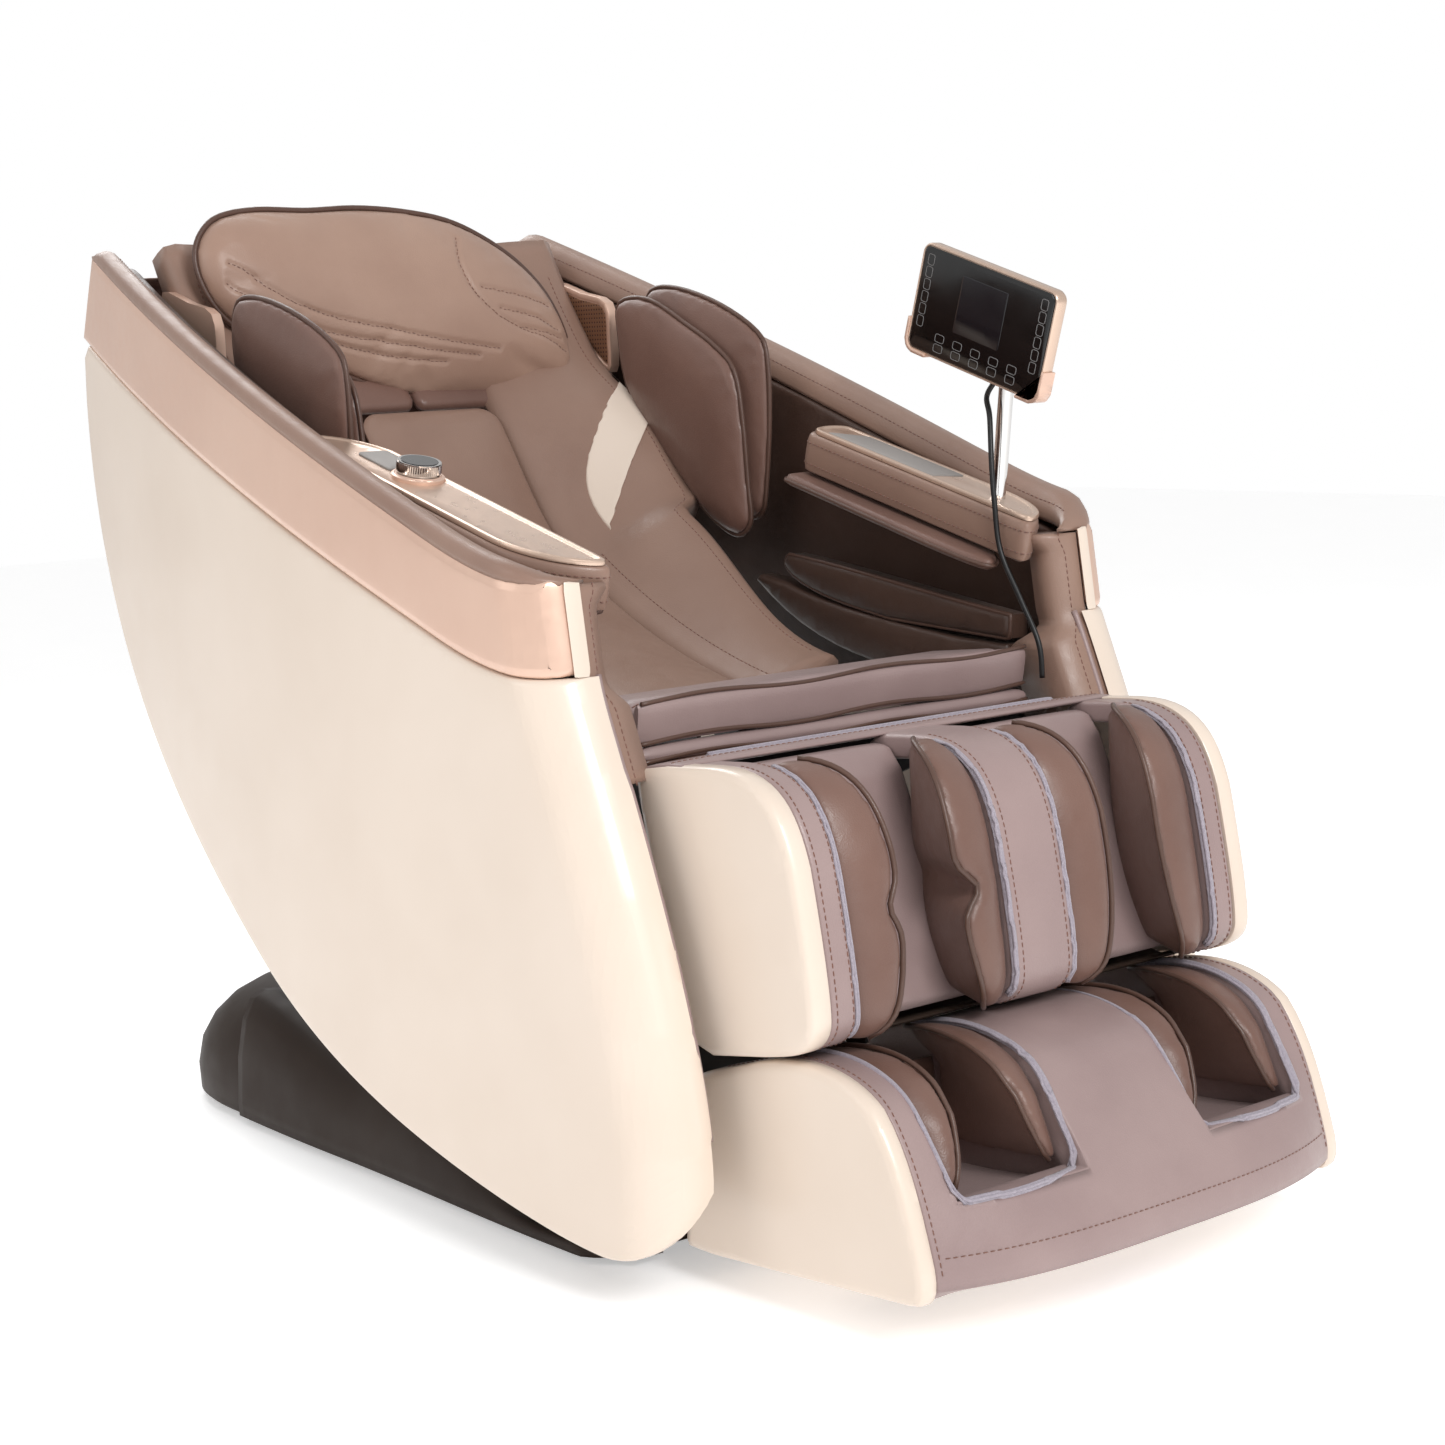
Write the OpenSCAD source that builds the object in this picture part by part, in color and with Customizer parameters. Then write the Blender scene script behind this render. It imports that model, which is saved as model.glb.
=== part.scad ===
// Full-body massage chair with one-piece side shells, a rocking seat body on a
// sliding base carriage, a lifting calf rest and an extending footrest.
// Millimetres, +Z up, the sitter faces -Y, origin on the floor at the middle of the chair's footprint.

/* [Side shells] */
// Half of the width over the side shells
half_w = 390; // [380:1:400]
// Wall of each side shell
shell_t = 18; // [14:1:20]
// How far the shells draw in towards the rear
rear_taper = 55; // [45:1:60]
// Radius of the rounded front corner, seen from above
corner_r = 56; // [50:1:60]
// Length over which the shells also draw in gently towards that corner
corner_len = 154; // [130:1:160]
// How far they draw in over that length
corner_in = 10; // [6:1:14]
// Outer face of the shell to the inner face of the side lining
lining_in = 50; // [46:1:52]
// Height of the padded rim above the metallic band
rim_rise = 24; // [16:1:34]

/* [Back and seat] */
// Radius of the back's front surface
back_r = 886; // [880:1:890]
// Thickness of the back pad
back_t = 36; // [28:1:37]
// Half width of the centre of the back pad
back_half_w = 150; // [140:1:150]
// Half width of the seat
seat_half_w = 255; // [245:1:258]
// Height of the seat's front edge
seat_z = 538; // [530:1:540]

/* [Recline] */
// Radius of the recline trunnions
trunnion_r = 14; // [10:1:15]
// Radial running clearance of every pivot
run_gap = 0.05; // [0.03:0.01:0.08]
// Radius of the two slide rails
rail_r = 12; // [10:1:13]

/* [Leg rest] */
// Half width of the calf rest
calf_half_w = 291; // [286:1:293]
// Half width of the footrest
foot_half_w = 280; // [270:1:284]
// Radius of the footrest's slide tubes
tube_r = 10; // [8:1:11]

/* [Controls] */
// Width of the tablet
tablet_w = 206; // [196:1:210]
// Height of the tablet
tablet_h = 118; // [110:1:122]
// Thickness of the tablet
tablet_t = 16; // [12:1:18]
// Radius of the control knob
knob_r = 22; // [18:1:24]

/* [Hidden] */

cream = "#E9DBCB";
gold = "#D3AC98";
taupe = "#A88C7E";
brown = "#45342A";
dark = "#2B2420";
steel = "#8E8E90";
grey = "#8F8A86";

// ---------- points and curves ----------
function bez(a, b, c, d, n) =
  [for (i = [0 : n - 1]) let (t = i / n, s = 1 - t)
    a * s * s * s + b * 3 * s * s * t + c * 3 * s * t * t + d * t * t * t];
function line_pts(a, b, n) = [for (i = [0 : n - 1]) a + (b - a) * i / n];
function mix(a, b, t) = a + (b - a) * t;
function rev(p) = [for (i = [len(p) - 1 : -1 : 0]) p[i]];

// Corner points of the side profile, as [y, z]
band_low_front = [-446, 574];
band_low_bend = [-250, 616];
band_low_rear = [578, 903];
band_top_front = [-434, 661];
band_top_bend = [-225, 719];
band_top_rear = [512, 997];
shell_tip = [-583, 150];
shell_heel = [-500, 50];
shell_belly = [120, 240];
shell_rear = [584, 830];

function band_low_pts(n) = concat(
  bez(band_low_front, [-380, 572], [-330, 588], band_low_bend, n),
  line_pts(band_low_bend, band_low_rear, n), [band_low_rear]);
function band_top_pts(n) = concat(
  bez(band_top_front, [-370, 664], [-310, 687], band_top_bend, n),
  line_pts(band_top_bend, band_top_rear, n), [band_top_rear]);

// Outline of the shell below the metallic band
shell_outline = concat(
  bez(band_low_front, [-478, 490], [-575, 280], shell_tip, 10),
  bez(shell_tip, [-588, 90], [-572, 50], shell_heel, 6),
  bez(shell_heel, [-330, 62], [-60, 120], shell_belly, 10),
  bez(shell_belly, [330, 378], [588, 560], shell_rear, 14),
  rev(band_low_pts(8)));

// Outline of the leather lining inside the shell
lining_outline = concat(
  bez([-396, 652], [-404, 620], [-414, 580], [-418, 540], 5),
  [[-418, 540], [-400, 484], [-300, 434], [-150, 440]],
  bez([-50, 470], [180, 500], [420, 640], [480, 800], 8),
  [[505, 880], [515, 960], [490, 985]],
  line_pts([470, 976], [-215, 718], 10),
  bez([-235, 711], [-300, 686], [-350, 667], [-388, 656], 5));

// Half width of the shell's outer face at a point of the side profile
// Front edge of the side, as z and y
edge_line = [[150, -583], [259, -563], [379, -523.5], [491, -480], [574, -446], [661, -434]];
function front_edge_y(z) = lookup(z, edge_line);
function corner_drop(s) =
  let (near = max(0, corner_r - 1 - max(0, s)), far = max(0, corner_len - max(0, s)))
    corner_r - sqrt(corner_r * corner_r - near * near) + corner_in * pow(far / corner_len, 2);
function plan_x(p) = half_w
  - rear_taper * pow(max(p[0] + 185, 0) / 600, 2)
  - corner_drop(p[0] - front_edge_y(p[1]));

// ---------- general builders ----------
// The parts are drawn about the middle of the four feet; the origin is the middle of the footprint
centre_y = 133.5;
module centred() {
  translate([0, centre_y, 0]) children();
}
// Closed skin through rings of points, each end closed to its centre point
module skin(rings) {
  n = len(rings[0]);
  m = len(rings);
  first = rings[0];
  last = rings[m - 1];
  mid = function (r) [for (k = [0 : 2]) [for (p = r) p[k]] * [for (p = r) 1] / n];
  pts = concat([for (r = rings) for (p = r) p], [mid(first), mid(last)]);
  faces = concat(
    [for (j = [0 : m - 2]) for (i = [0 : n - 1]) let (k = (i + 1) % n)
      each [[j * n + i, (j + 1) * n + i, j * n + k],
            [j * n + k, (j + 1) * n + i, (j + 1) * n + k]]],
    [for (i = [0 : n - 1]) [m * n, i, (i + 1) % n]],
    [for (i = [0 : n - 1]) [m * n + 1, (m - 1) * n + (i + 1) % n, (m - 1) * n + i]]);
  polyhedron(pts, faces);
}
// Shell-like plate over a side outline: between two depths below the outer face
module side_plate(outline, hub, depth_out, depth_in, round_in) {
  face = [0.3, 0.5, 0.66, 0.77, 0.85, 0.91, 0.96, 1];
  scales = concat(face, [1, 0.985], rev(face) - [for (i = face) 0.03]);
  depths = concat([for (i = face) depth_in], [depth_out + round_in, depth_out + round_in * 0.3],
                  [for (i = face) depth_out]);
  skin([for (k = [0 : len(scales) - 1])
    [for (p = outline) let (q = mix(hub, p, scales[k])) [plan_x(q) - depths[k], q[0], q[1]]]]);
}
// Prism across the chair: children lie in the side plane, x0 to x1
module across(x0, x1) {
  translate([x0, 0, 0]) rotate([90, 0, 90]) linear_extrude(x1 - x0) children();
}
module both() {
  children();
  mirror([1, 0, 0]) children();
}
module rod_x(y, z, r, x0, x1) {
  translate([x0, y, z]) rotate([0, 90, 0]) cylinder(h = x1 - x0, r = r, $fn = 48);
}
module rounded(size, r) {
  translate([r, r]) square(size - [2 * r, 2 * r]);
  for (x = [0, 1], y = [0, 1])
    translate([mix(r, size[0] - r, x), mix(r, size[1] - r, y)]) circle(r, $fn = 32);
  translate([r, 0]) square([size[0] - 2 * r, size[1]]);
  translate([0, r]) square([size[0], size[1] - 2 * r]);
}

// ---------- base ----------
base_half_w = 318;
rail_x = 205;
rail_z = 112;
module base_plan(grow) {
  polygon(concat(
    bez([-238 - grow, -432 - grow], [-300 - grow, -432 - grow],
        [-330 - grow, -400 - grow], [-328 - grow, -330], 6),
    [[-base_half_w - grow, 60], [-310 - grow, 320]],
    bez([-300 - grow, 380], [-270 - grow, 520 + grow], [-120, 540 + grow], [0, 540 + grow], 8),
    rev(bez([300 + grow, 380], [270 + grow, 520 + grow], [120, 540 + grow], [0, 540 + grow], 8)),
    [[310 + grow, 320], [base_half_w + grow, 60]],
    rev(bez([238 + grow, -432 - grow], [300 + grow, -432 - grow],
            [330 + grow, -400 - grow], [328 + grow, -330], 6))));
}
// Rear part of the base's plan, behind the slide rails
module casing_plan(grow, rear) {
  intersection() {
    base_plan(grow);
    translate([-400, 266]) square([800, rear - 266]);
  }
}
module casing_hull(inset) {
  hull() {
    translate([0, 0, 39]) linear_extrude(34 - inset / 2) casing_plan(-2 - inset, 530);
    translate([0, 0, 80]) linear_extrude(26 - inset / 2) casing_plan(-16 - inset, 486 - inset);
    translate([0, 0, 110]) linear_extrude(43 - inset) casing_plan(-44 - inset, 330 - inset);
  }
}
module base_cover() {
  color(dark) difference() {
    casing_hull(0);
    translate([0, -2, -2]) casing_hull(4);
    translate([150, 470, 58]) cube([28, 80, 30]);
    translate([180, 470, 64]) cube([18, 80, 18]);
    both() translate([226, 402, 30]) cube([44, 72, 46]);
  }
}
module base_skirt() {
  color(dark) difference() {
    translate([0, 0, 8]) linear_extrude(96) base_plan(0);
    translate([0, 0, 6]) linear_extrude(28) difference() {
      base_plan(-6);
      for (x = [-1, 1], y = [-1, 1]) translate([x * 250, y * 330]) circle(26, $fn = 48);
    }
    translate([0, 0, 38]) linear_extrude(90) base_plan(-6);
    across(-400, 400) polygon([[-460, 38], [-240, 38], [-60, 104], [-60, 130], [-460, 130]]);
    across(-400, 400) polygon([[264, 38], [600, 38], [600, 130], [264, 130]]);
    translate([-230, -330, 6]) cube([460, 560, 60]);
    for (x = [-1, 1], y = [-1, 1]) translate([x * 250, y * 330, 0]) cylinder(h = 60, r = 7, $fn = 32);
    for (x = [-1, 1]) translate([x * 250 - 24, 395, 0]) cube([48, 86, 60]);
    rod_x(438, 43, 8, -280, 280);
  }
}
module base_frame() {
  color(steel) {
    for (x = [-rail_x, rail_x])
      translate([x, -252, rail_z]) rotate([-90, 0, 0]) cylinder(h = 504, r = rail_r, $fn = 48);
    for (y = [-262, 252]) translate([-226, y, 45]) difference() {
      cube([452, 10, 84]);
      translate([60, -1, 26]) cube([332, 12, 70]);
    }
    for (x = [-224, 194]) translate([x, 262, 45]) difference() {
      cube([30, 190, 20]);
      translate([-1, 176, 9]) cube([32, 15, 12]);
    }
    rod_x(438, 43, 6, -262, 262);
  }
}
module base_feet() {
  color(dark) for (x = [-1, 1], y = [-1, 1]) translate([x * 250, y * 330, 0]) {
    cylinder(h = 7.5, r = 24, $fn = 48);
    cylinder(h = 36, r = 6.5, $fn = 32);
  }
}
module power_inlet() {
  color(dark) difference() {
    translate([151, 470, 59]) cube([26, 36, 28]);
    translate([155, 494, 63]) cube([18, 20, 20]);
  }
}
module power_switch() {
  color("#7A1F1A") {
    rod_x(490, 73, 7, 181, 197);
    translate([182, 491, 67]) cube([14, 9, 12]);
  }
}
module transport_wheels() {
  color(grey) both() difference() {
    rod_x(438, 43, 28, 232, 258);
    rod_x(438, 43, 6 + run_gap, 230, 260);
  }
}

// ---------- slide carriage and tilt drive ----------
recline_y = 90;
recline_z = 230;
tilt_base = [-40, 150];
tilt_end = [-180, 400];
module slide_carriage() {
  color(steel) {
    both() {
      for (y = [10, 130]) translate([rail_x, y, rail_z]) rotate([-90, 0, 0]) difference() {
        cylinder(h = 45, r = rail_r + 8, $fn = 48);
        translate([0, 0, -1]) cylinder(h = 47, r = rail_r + run_gap, $fn = 48);
      }
      difference() {
        across(191, 199) polygon([[-60, 128], [185, 128], [185, 150], [118, 250], [62, 250], [-60, 165]]);
        for (y = [10, 130]) translate([rail_x, y - 1, rail_z]) rotate([-90, 0, 0])
          cylinder(h = 47, r = rail_r + 7, $fn = 48);
      }
      rod_x(recline_y, recline_z, trunnion_r, 176, 192);
    }
    translate([-192, 150, 140]) cube([384, 26, 26]);
    translate([-192, -56, 126]) cube([384, 12, 11]);
    for (x = [-17, 12]) across(x, x + 5) polygon([[-56, 131], [-24, 131], [-24, 162], [-56, 162]]);
    rod_x(tilt_base[0], tilt_base[1], 5, -17, 17);
  }
}
tilt_angle = atan2(tilt_end[1] - tilt_base[1], tilt_end[0] - tilt_base[0]);
tilt_len = norm(tilt_end - tilt_base);
// Moves children from a drive's own axis, +Y from its base pin, into place
module along_tilt() {
  translate([0, tilt_base[0], tilt_base[1]]) rotate([tilt_angle, 0, 0]) children();
}
module drive_y(r, y0, y1) {
  translate([0, y0, 0]) rotate([-90, 0, 0]) cylinder(h = y1 - y0, r = r, $fn = 48);
}
module tilt_actuator() {
  color(dark) along_tilt() difference() {
    union() {
      rod_x(0, 0, 11, -10, 10);
      drive_y(9, 4, 40);
      drive_y(22, 38, 60);
      drive_y(17, 58, 210);
      translate([-16, 40, 10]) cube([32, 60, 50]);
    }
    rod_x(0, 0, 5 + run_gap, -11, 11);
    drive_y(8 + run_gap, 62, 211);
  }
}
module tilt_rod() {
  color(steel) along_tilt() difference() {
    union() {
      drive_y(8, 66, tilt_len - 14);
      rod_x(tilt_len, 0, 17, -7, 7);
    }
    rod_x(tilt_len, 0, 9, -8, 8);
  }
}

// ---------- main frame ----------
arc_y = -338;
arc_z = 1392;
track_r = 992;
plate_x0 = 181;
plate_x1 = 187;
calf_y = -455;
calf_z = 462;
leg_z = 404.5;
module at_arc(angle) {
  translate([0, arc_y, arc_z]) rotate([angle, 0, 0]) children();
}
// Ring segment about the centre of the back's arc: r0 to r1, x0 to x1
module arc_band(r0, r1, x0, x1, a0, a1) {
  at_arc(a0) rotate([0, 90, 0]) rotate([0, 0, 90])
    rotate_extrude(angle = a1 - a0, $fn = 180) translate([r0, x0]) square([r1 - r0, x1 - x0]);
}
module main_frame() {
  color(steel) {
    both() difference() {
      union() {
        arc_band(994, 1034, plate_x0, plate_x1, -82, -34);
        across(plate_x0, plate_x1) polygon([[40, 440], [170, 470], [150, 420], [118, 222], [90, 204], [62, 222]]);
        across(plate_x0, plate_x1) polygon([[-390, 440], [-190, 358], [-126, 358], [-126, 395], [-380, 486]]);
      }
      rod_x(recline_y, recline_z, trunnion_r + run_gap, plate_x0 - 1, plate_x1 + 1);
    }
    both() difference() {
      across(214, 220) polygon([[-384, 444], [-384, 470], [-448, 478], [-468, 470], [-468, 450], [-448, 446]]);
      rod_x(calf_y, calf_z, 9 + run_gap, 213, 221);
    }
    translate([-220, -400, 452]) cube([440, 18, 18]);
    for (a = [-43, -57.5]) at_arc(a) rod_x(1022, 0, 9, -182, 182);
    for (x = [-18, 12]) across(x, x + 6)
      polygon([[-130, 362], [-142, 362], [-192, 390], [-192, 410], [-170, 416], [-130, 376]]);
    translate([-182, -142, 362]) cube([364, 12, 12]);
    translate([-182, -232, 392]) cube([364, 10, 24]);
    translate([-182, -85, 295]) cube([364, 185, 5]);
    rod_x(tilt_end[0], tilt_end[1], 6, -18, 18);
  }
}
module back_cover() {
  color(taupe) across(-262, 262) polygon(concat(
    bez([452, 520], [520, 610], [562, 740], [560, 860], 10),
    [[556, 900], [530, 965], [498, 975]],
    [[494, 968], [524, 958], [549, 898]],
    rev(bez([446, 524], [514, 614], [555, 742], [553, 862], 10))));
}
module track_rails() {
  color(steel) both() difference() {
    arc_band(976, 1008, 162, plate_x0 - 0.02, -80, -31);
    arc_band(983, 1001, 161, 175, -81, -30);
  }
}

// ---------- side shells, bands, rims, linings ----------
module side_shell() {
  side_plate(shell_outline, [80, 500], 0, shell_t, 7);
}
// Strip between the two band curves, as rings along the chair
module band_strip(d_out, d_in) {
  low = band_low_pts(12);
  top = band_top_pts(12);
  // across the strip: share of its height, and depth below the outer face
  section = [[0.02, d_in], [0.02, d_out + 5], [0.06, d_out + 1], [0.2, d_out], [0.5, d_out],
             [0.8, d_out], [0.94, d_out + 1], [0.985, d_out + 5], [0.985, d_in]];
  skin([for (i = [0 : len(low) - 1])
    [for (s = section) let (q = mix(low[i], top[i], s[0])) [plan_x(q) - s[1], q[0], q[1]]]]);
}
module rim_strip() {
  top = band_top_pts(14);
  n = len(top);
  skin([for (i = [0 : n - 1])
    let (h = rim_rise * min(1, 0.25 + i * 0.25) * min(1, 0.3 + (n - 1 - i) * 0.35), x = plan_x(top[i]))
    [for (s = [[2, 0.5], [0, h * 0.5], [5, h * 0.9], [16, h], [34, h * 0.94], [45, h * 0.6], [47, 0.5]])
      [x - s[0], top[i][0], top[i][1] + s[1]]]]);
}
module side_lining() {
  side_plate(lining_outline, [20, 620], shell_t + 7, lining_in, 3);
}
module side_shell_left() { color(cream) side_shell(); }
module side_shell_right() { color(cream) mirror([1, 0, 0]) side_shell(); }
module gold_band_left() { color(gold) band_strip(-1, shell_t); }
module gold_band_right() { color(gold) mirror([1, 0, 0]) band_strip(-1, shell_t); }
module rim_pad_left() { color(taupe) rim_strip(); }
module rim_pad_right() { color(taupe) mirror([1, 0, 0]) rim_strip(); }
module side_lining_left() { color(brown) side_lining(); }
module side_lining_right() { color(brown) mirror([1, 0, 0]) side_lining(); }

// ---------- arms ----------
arm_slope = 15.4;
arm_z0 = 784;
arm_in = 272;
arm_out = 328;
// Moves children from the sloping arm plane, z = 0 on the plate's underside
module on_arm() {
  translate([0, 0, arm_z0]) rotate([arm_slope, 0, 0]) children();
}
module arm_plan(rear, inset, taper) {
  w0 = arm_in + inset;
  w1 = arm_out - inset;
  front = inset - 430;
  polygon(concat(
    bez([w0, -395], [w0, -422 + inset], [w0, front], [w0 + 8, front], 4),
    bez([w0 + 8, front], [w0 + 26, front + 18], [w1, -350], [w1, -285], 8),
    [[w1, rear - 22 - inset]],
    bez([w1, rear - 20 - inset], [w1, rear - inset],
        [w0 + taper * 0.7, rear - inset - taper / 3], [w0, rear - 24 - inset - 2 * taper], 8),
    [[w0, rear - 26 - inset - 2 * taper]]));
}
module armrest(rear, taper) {
  on_arm() difference() {
    translate([0, 0, -46]) linear_extrude(45.5) arm_plan(rear, 0, taper);
    translate([0, 0, -42]) linear_extrude(20) arm_plan(rear, 12, taper);
  }
}
post_x = 303;
post_y = -342;
post_lean = 8;
knob_x = -304;
knob_y = -142;
// Moves children to the foot of the tablet post, +Z up the post
module on_post() {
  translate([post_x, post_y, arm_z0 + post_y * tan(arm_slope)]) rotate([post_lean, 0, 0]) children();
}
module post_bore(r) {
  on_post() translate([0, 0, -60]) cylinder(h = 90, r = r, $fn = 40);
}
module knob_bore(r) {
  on_arm() translate([knob_x, knob_y, -60]) cylinder(h = 70, r = r, $fn = 40);
}
module pad_plan(inset) {
  polygon([[281 + inset, -268 + inset], [319 - inset, -280 + inset],
           [319 - inset, -116 - inset], [281 + inset, -90 - inset]]);
}
module armrest_left() {
  color(brown) difference() {
    armrest(-56, 0);
    post_bore(9);
  }
}
module armrest_right() {
  color(brown) difference() {
    mirror([1, 0, 0]) armrest(36, 28);
    knob_bore(8);
  }
}
module arm_plate_left() {
  color(gold) difference() {
    on_arm() linear_extrude(5) arm_plan(-58, 4, 0);
    on_arm() translate([0, 0, 2]) linear_extrude(10) pad_plan(0);
    post_bore(8 + run_gap);
  }
}
module arm_plate_right() {
  color(gold) difference() {
    on_arm() mirror([1, 0, 0]) linear_extrude(5) arm_plan(34, 4, 28);
    on_arm() translate([-321, -117, 3.5]) linear_extrude(10) rounded([38, 66], 6);
    knob_bore(6 + run_gap);
  }
}
module charging_pad() {
  color(grey) on_arm() translate([0, 0, 2]) linear_extrude(3.5) pad_plan(1);
}
module touch_keypad() {
  color(grey) on_arm() translate([-320, -116, 3.5]) linear_extrude(2) rounded([36, 64], 5);
}
module arm_air_cells() {
  color(taupe) both() {
    on_arm() translate([0, 0, -62]) linear_extrude(14) polygon(
      concat(bez([246, -300], [246, -410], [256, -418], [288, -380], 6), [[312, -300], [320, -70], [256, -66]]));
    across(276, 310) polygon(concat(
      bez([-385, 561], [-300, 578], [-160, 606], [-20, 622], 6),
      bez([-20, 622], [10, 605], [-60, 575], [-160, 562], 5), [[-300, 546], [-385, 539]]));
    across(276, 310) polygon([[-385, 500], [-385, 532], [-300, 541], [-160, 556], [-60, 568],
                              [20, 600], [40, 590], [-60, 530], [-200, 500]]);
  }
}

// ---------- seat and back ----------
module back_pad() {
  color(taupe) arc_band(back_r, back_r + back_t, -back_half_w, back_half_w, -84, -30);
}
module back_wings() {
  color(taupe) both() {
    arc_band(back_r, back_r + back_t, back_half_w + 2, 272, -78, -30);
    at_arc(-77.5) rotate([0, 90, 0]) rotate([0, 0, 90]) rotate_extrude(angle = 34.5, $fn = 180)
      polygon([[back_r + 12, back_half_w + 8], [back_r - 38, 215], [back_r - 62, 266],
               [back_r + 12, 266]]);
  }
}
module seat_cushion() {
  color(taupe) across(-seat_half_w, seat_half_w) polygon(concat(
    [[-252, 494], [-404, 500]],
    bez([-405, 505], [-408, 530], [-404, seat_z], [-385, seat_z], 6),
    [[-300, seat_z - 8], [-266, seat_z - 22]]));
}
flap_half_w = 258;
module seat_flaps() {
  color(taupe) {
    across(-flap_half_w, flap_half_w) polygon([[-410, 500], [-412, 534], [-422, 540], [-426, 534], [-420, 500]]);
    across(-flap_half_w, flap_half_w) polygon([[-410, 481], [-421, 481], [-425, 488], [-421, 496], [-410, 497]]);
  }
}
module shoulder_air_cells() {
  color(taupe) both() {
    across(276, 296) polygon(concat(
      bez([200, 905], [140, 900], [40, 870], [25, 800], 6),
      bez([25, 800], [15, 740], [20, 680], [60, 655], 6), [[120, 700], [200, 790]]));
    across(248, 268) polygon(concat(
      bez([285, 925], [240, 925], [130, 880], [110, 820], 6),
      [[125, 765], [212, 800], [282, 868]]));
  }
}
module speakers() {
  color(gold) both() across(268, 281) polygon([[296, 835], [345, 868], [400, 910], [410, 955], [300, 925]]);
}
module air_pump() {
  color(dark) translate([30, -120, 300]) cube([130, 170, 70]);
}
module control_box() {
  color(dark) difference() {
    translate([-165, -120, 300]) cube([140, 170, 60]);
    translate([-162, -117, 303]) cube([134, 164, 54]);
  }
}
pillow_y = 392;
pillow_z = 1034;
module head_pillow() {
  color(taupe) {
    rod_x(pillow_y, pillow_z, 10, -120, 120);
    across(-246, 246) polygon(concat(
      bez([378, 1046], [350, 1052], [318, 1000], [312, 940], 6),
      bez([312, 940], [305, 880], [308, 830], [322, 822], 6),
      bez([332, 822], [356, 850], [372, 930], [396, 1010], 6), [[398, 1040]]));
  }
}

// ---------- leg drive ----------
leg_pin_y = -428;
module leg_actuator() {
  color(dark) difference() {
    union() {
      translate([0, 0, leg_z]) drive_y(16, -386, -240);
      translate([0, 0, leg_z]) drive_y(20, -256, -232);
      translate([-14, -300, leg_z + 12]) cube([28, 56, 36]);
    }
    translate([0, 0, leg_z]) drive_y(7 + run_gap, -387, -244);
  }
}
module leg_rod() {
  color(steel) difference() {
    union() {
      translate([0, 0, leg_z]) drive_y(7, leg_pin_y + 12, -250);
      rod_x(leg_pin_y, leg_z, 15, -6, 6);
    }
    rod_x(leg_pin_y, leg_z, 10, -7, 7);
  }
}

// ---------- controls ----------
module knob_ring() {
  color("silver") on_arm() translate([knob_x, knob_y, 0]) difference() {
    union() {
      translate([0, 0, 9]) cylinder(h = 12, r = knob_r, $fn = 64);
      translate([0, 0, 5.3]) cylinder(h = 4, r = knob_r - 4, $fn = 64);
      translate([0, 0, -20]) cylinder(h = 26, r = 6, $fn = 48);
    }
    translate([0, 0, 17]) cylinder(h = 10, r = knob_r - 3, $fn = 64);
    translate([0, 0, 10]) cylinder(h = 10, r = 4, $fn = 48);
  }
}
module knob_button() {
  color("black") on_arm() translate([knob_x, knob_y, 0]) {
    translate([0, 0, 18.5]) cylinder(h = 3, r = knob_r - 3.2, $fn = 64);
    translate([0, 0, 12]) cylinder(h = 7, r = 3.9, $fn = 48);
  }
}
head_h = 160;
head_roll = 10;
// Moves children to the tablet's tilt axis at the top of the post
module on_head() {
  on_post() translate([0, 0, head_h]) rotate([head_roll, 0, 0]) children();
}
module tablet_post() {
  color("silver") {
    on_post() translate([0, 0, -50]) cylinder(h = 194, r = 8, $fn = 48);
    on_head() difference() {
      translate([-9, -10, -18]) cube([18, 20, 26]);
      translate([-10, -5, -10]) cube([20, 10, 40]);
    }
    on_head() translate([0, -10, 0]) rotate([-90, 0, 0]) cylinder(h = 20, r = 4, $fn = 40);
  }
}
tablet_x = -44;
tablet_z = -26;
tablet_y = 9;
module tablet_cradle() {
  color(gold) on_head() {
    difference() {
      translate([0, -4.5, 0]) rotate([-90, 0, 0]) cylinder(h = 9, r = 7.5, $fn = 48);
      translate([0, -6, 0]) rotate([-90, 0, 0]) cylinder(h = 12, r = 4 + run_gap, $fn = 48);
    }
    translate([-23, -4.5, -4]) cube([17, 9, 8]);
    translate([-27, tablet_y - 66, tablet_z - 4]) cube([5, 132, 76]);
    difference() {
      translate([tablet_x - 3, tablet_y - 66, tablet_z - 4]) cube([22, 132, 26]);
      translate([tablet_x - 0.5, tablet_y - 70, tablet_z - 0.5]) cube([tablet_t + 1, 140, 60]);
      translate([tablet_x - 10, tablet_y - 54, tablet_z + 4]) cube([12, 108, 60]);
    }
  }
}
module tablet() {
  color("black") on_head() difference() {
    translate([tablet_x, tablet_y - tablet_w / 2, tablet_z]) rotate([90, 0, 90])
      linear_extrude(tablet_t) rounded([tablet_w, tablet_h], 12);
    translate([tablet_x - 1, tablet_y - tablet_w / 2 + 7, tablet_z + 7])
      cube([2, tablet_w - 14, tablet_h - 14]);
  }
}
cable_r = 3;
module tablet_cable() {
  path = bez([-375, 690], [-380, 600], [-440, 590], [-442, 508], 14);
  color("black") skin([for (i = [0 : len(path) - 1])
    let (a = path[max(0, i - 1)], b = path[min(len(path) - 1, i + 1)], d = (b - a) / norm(b - a))
    [for (k = [0 : 9]) let (u = cable_r * cos(36 * k), v = cable_r * sin(36 * k))
      [262 + u, path[i][0] - d[1] * v, path[i][1] + d[0] * v]]]);
}

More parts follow.
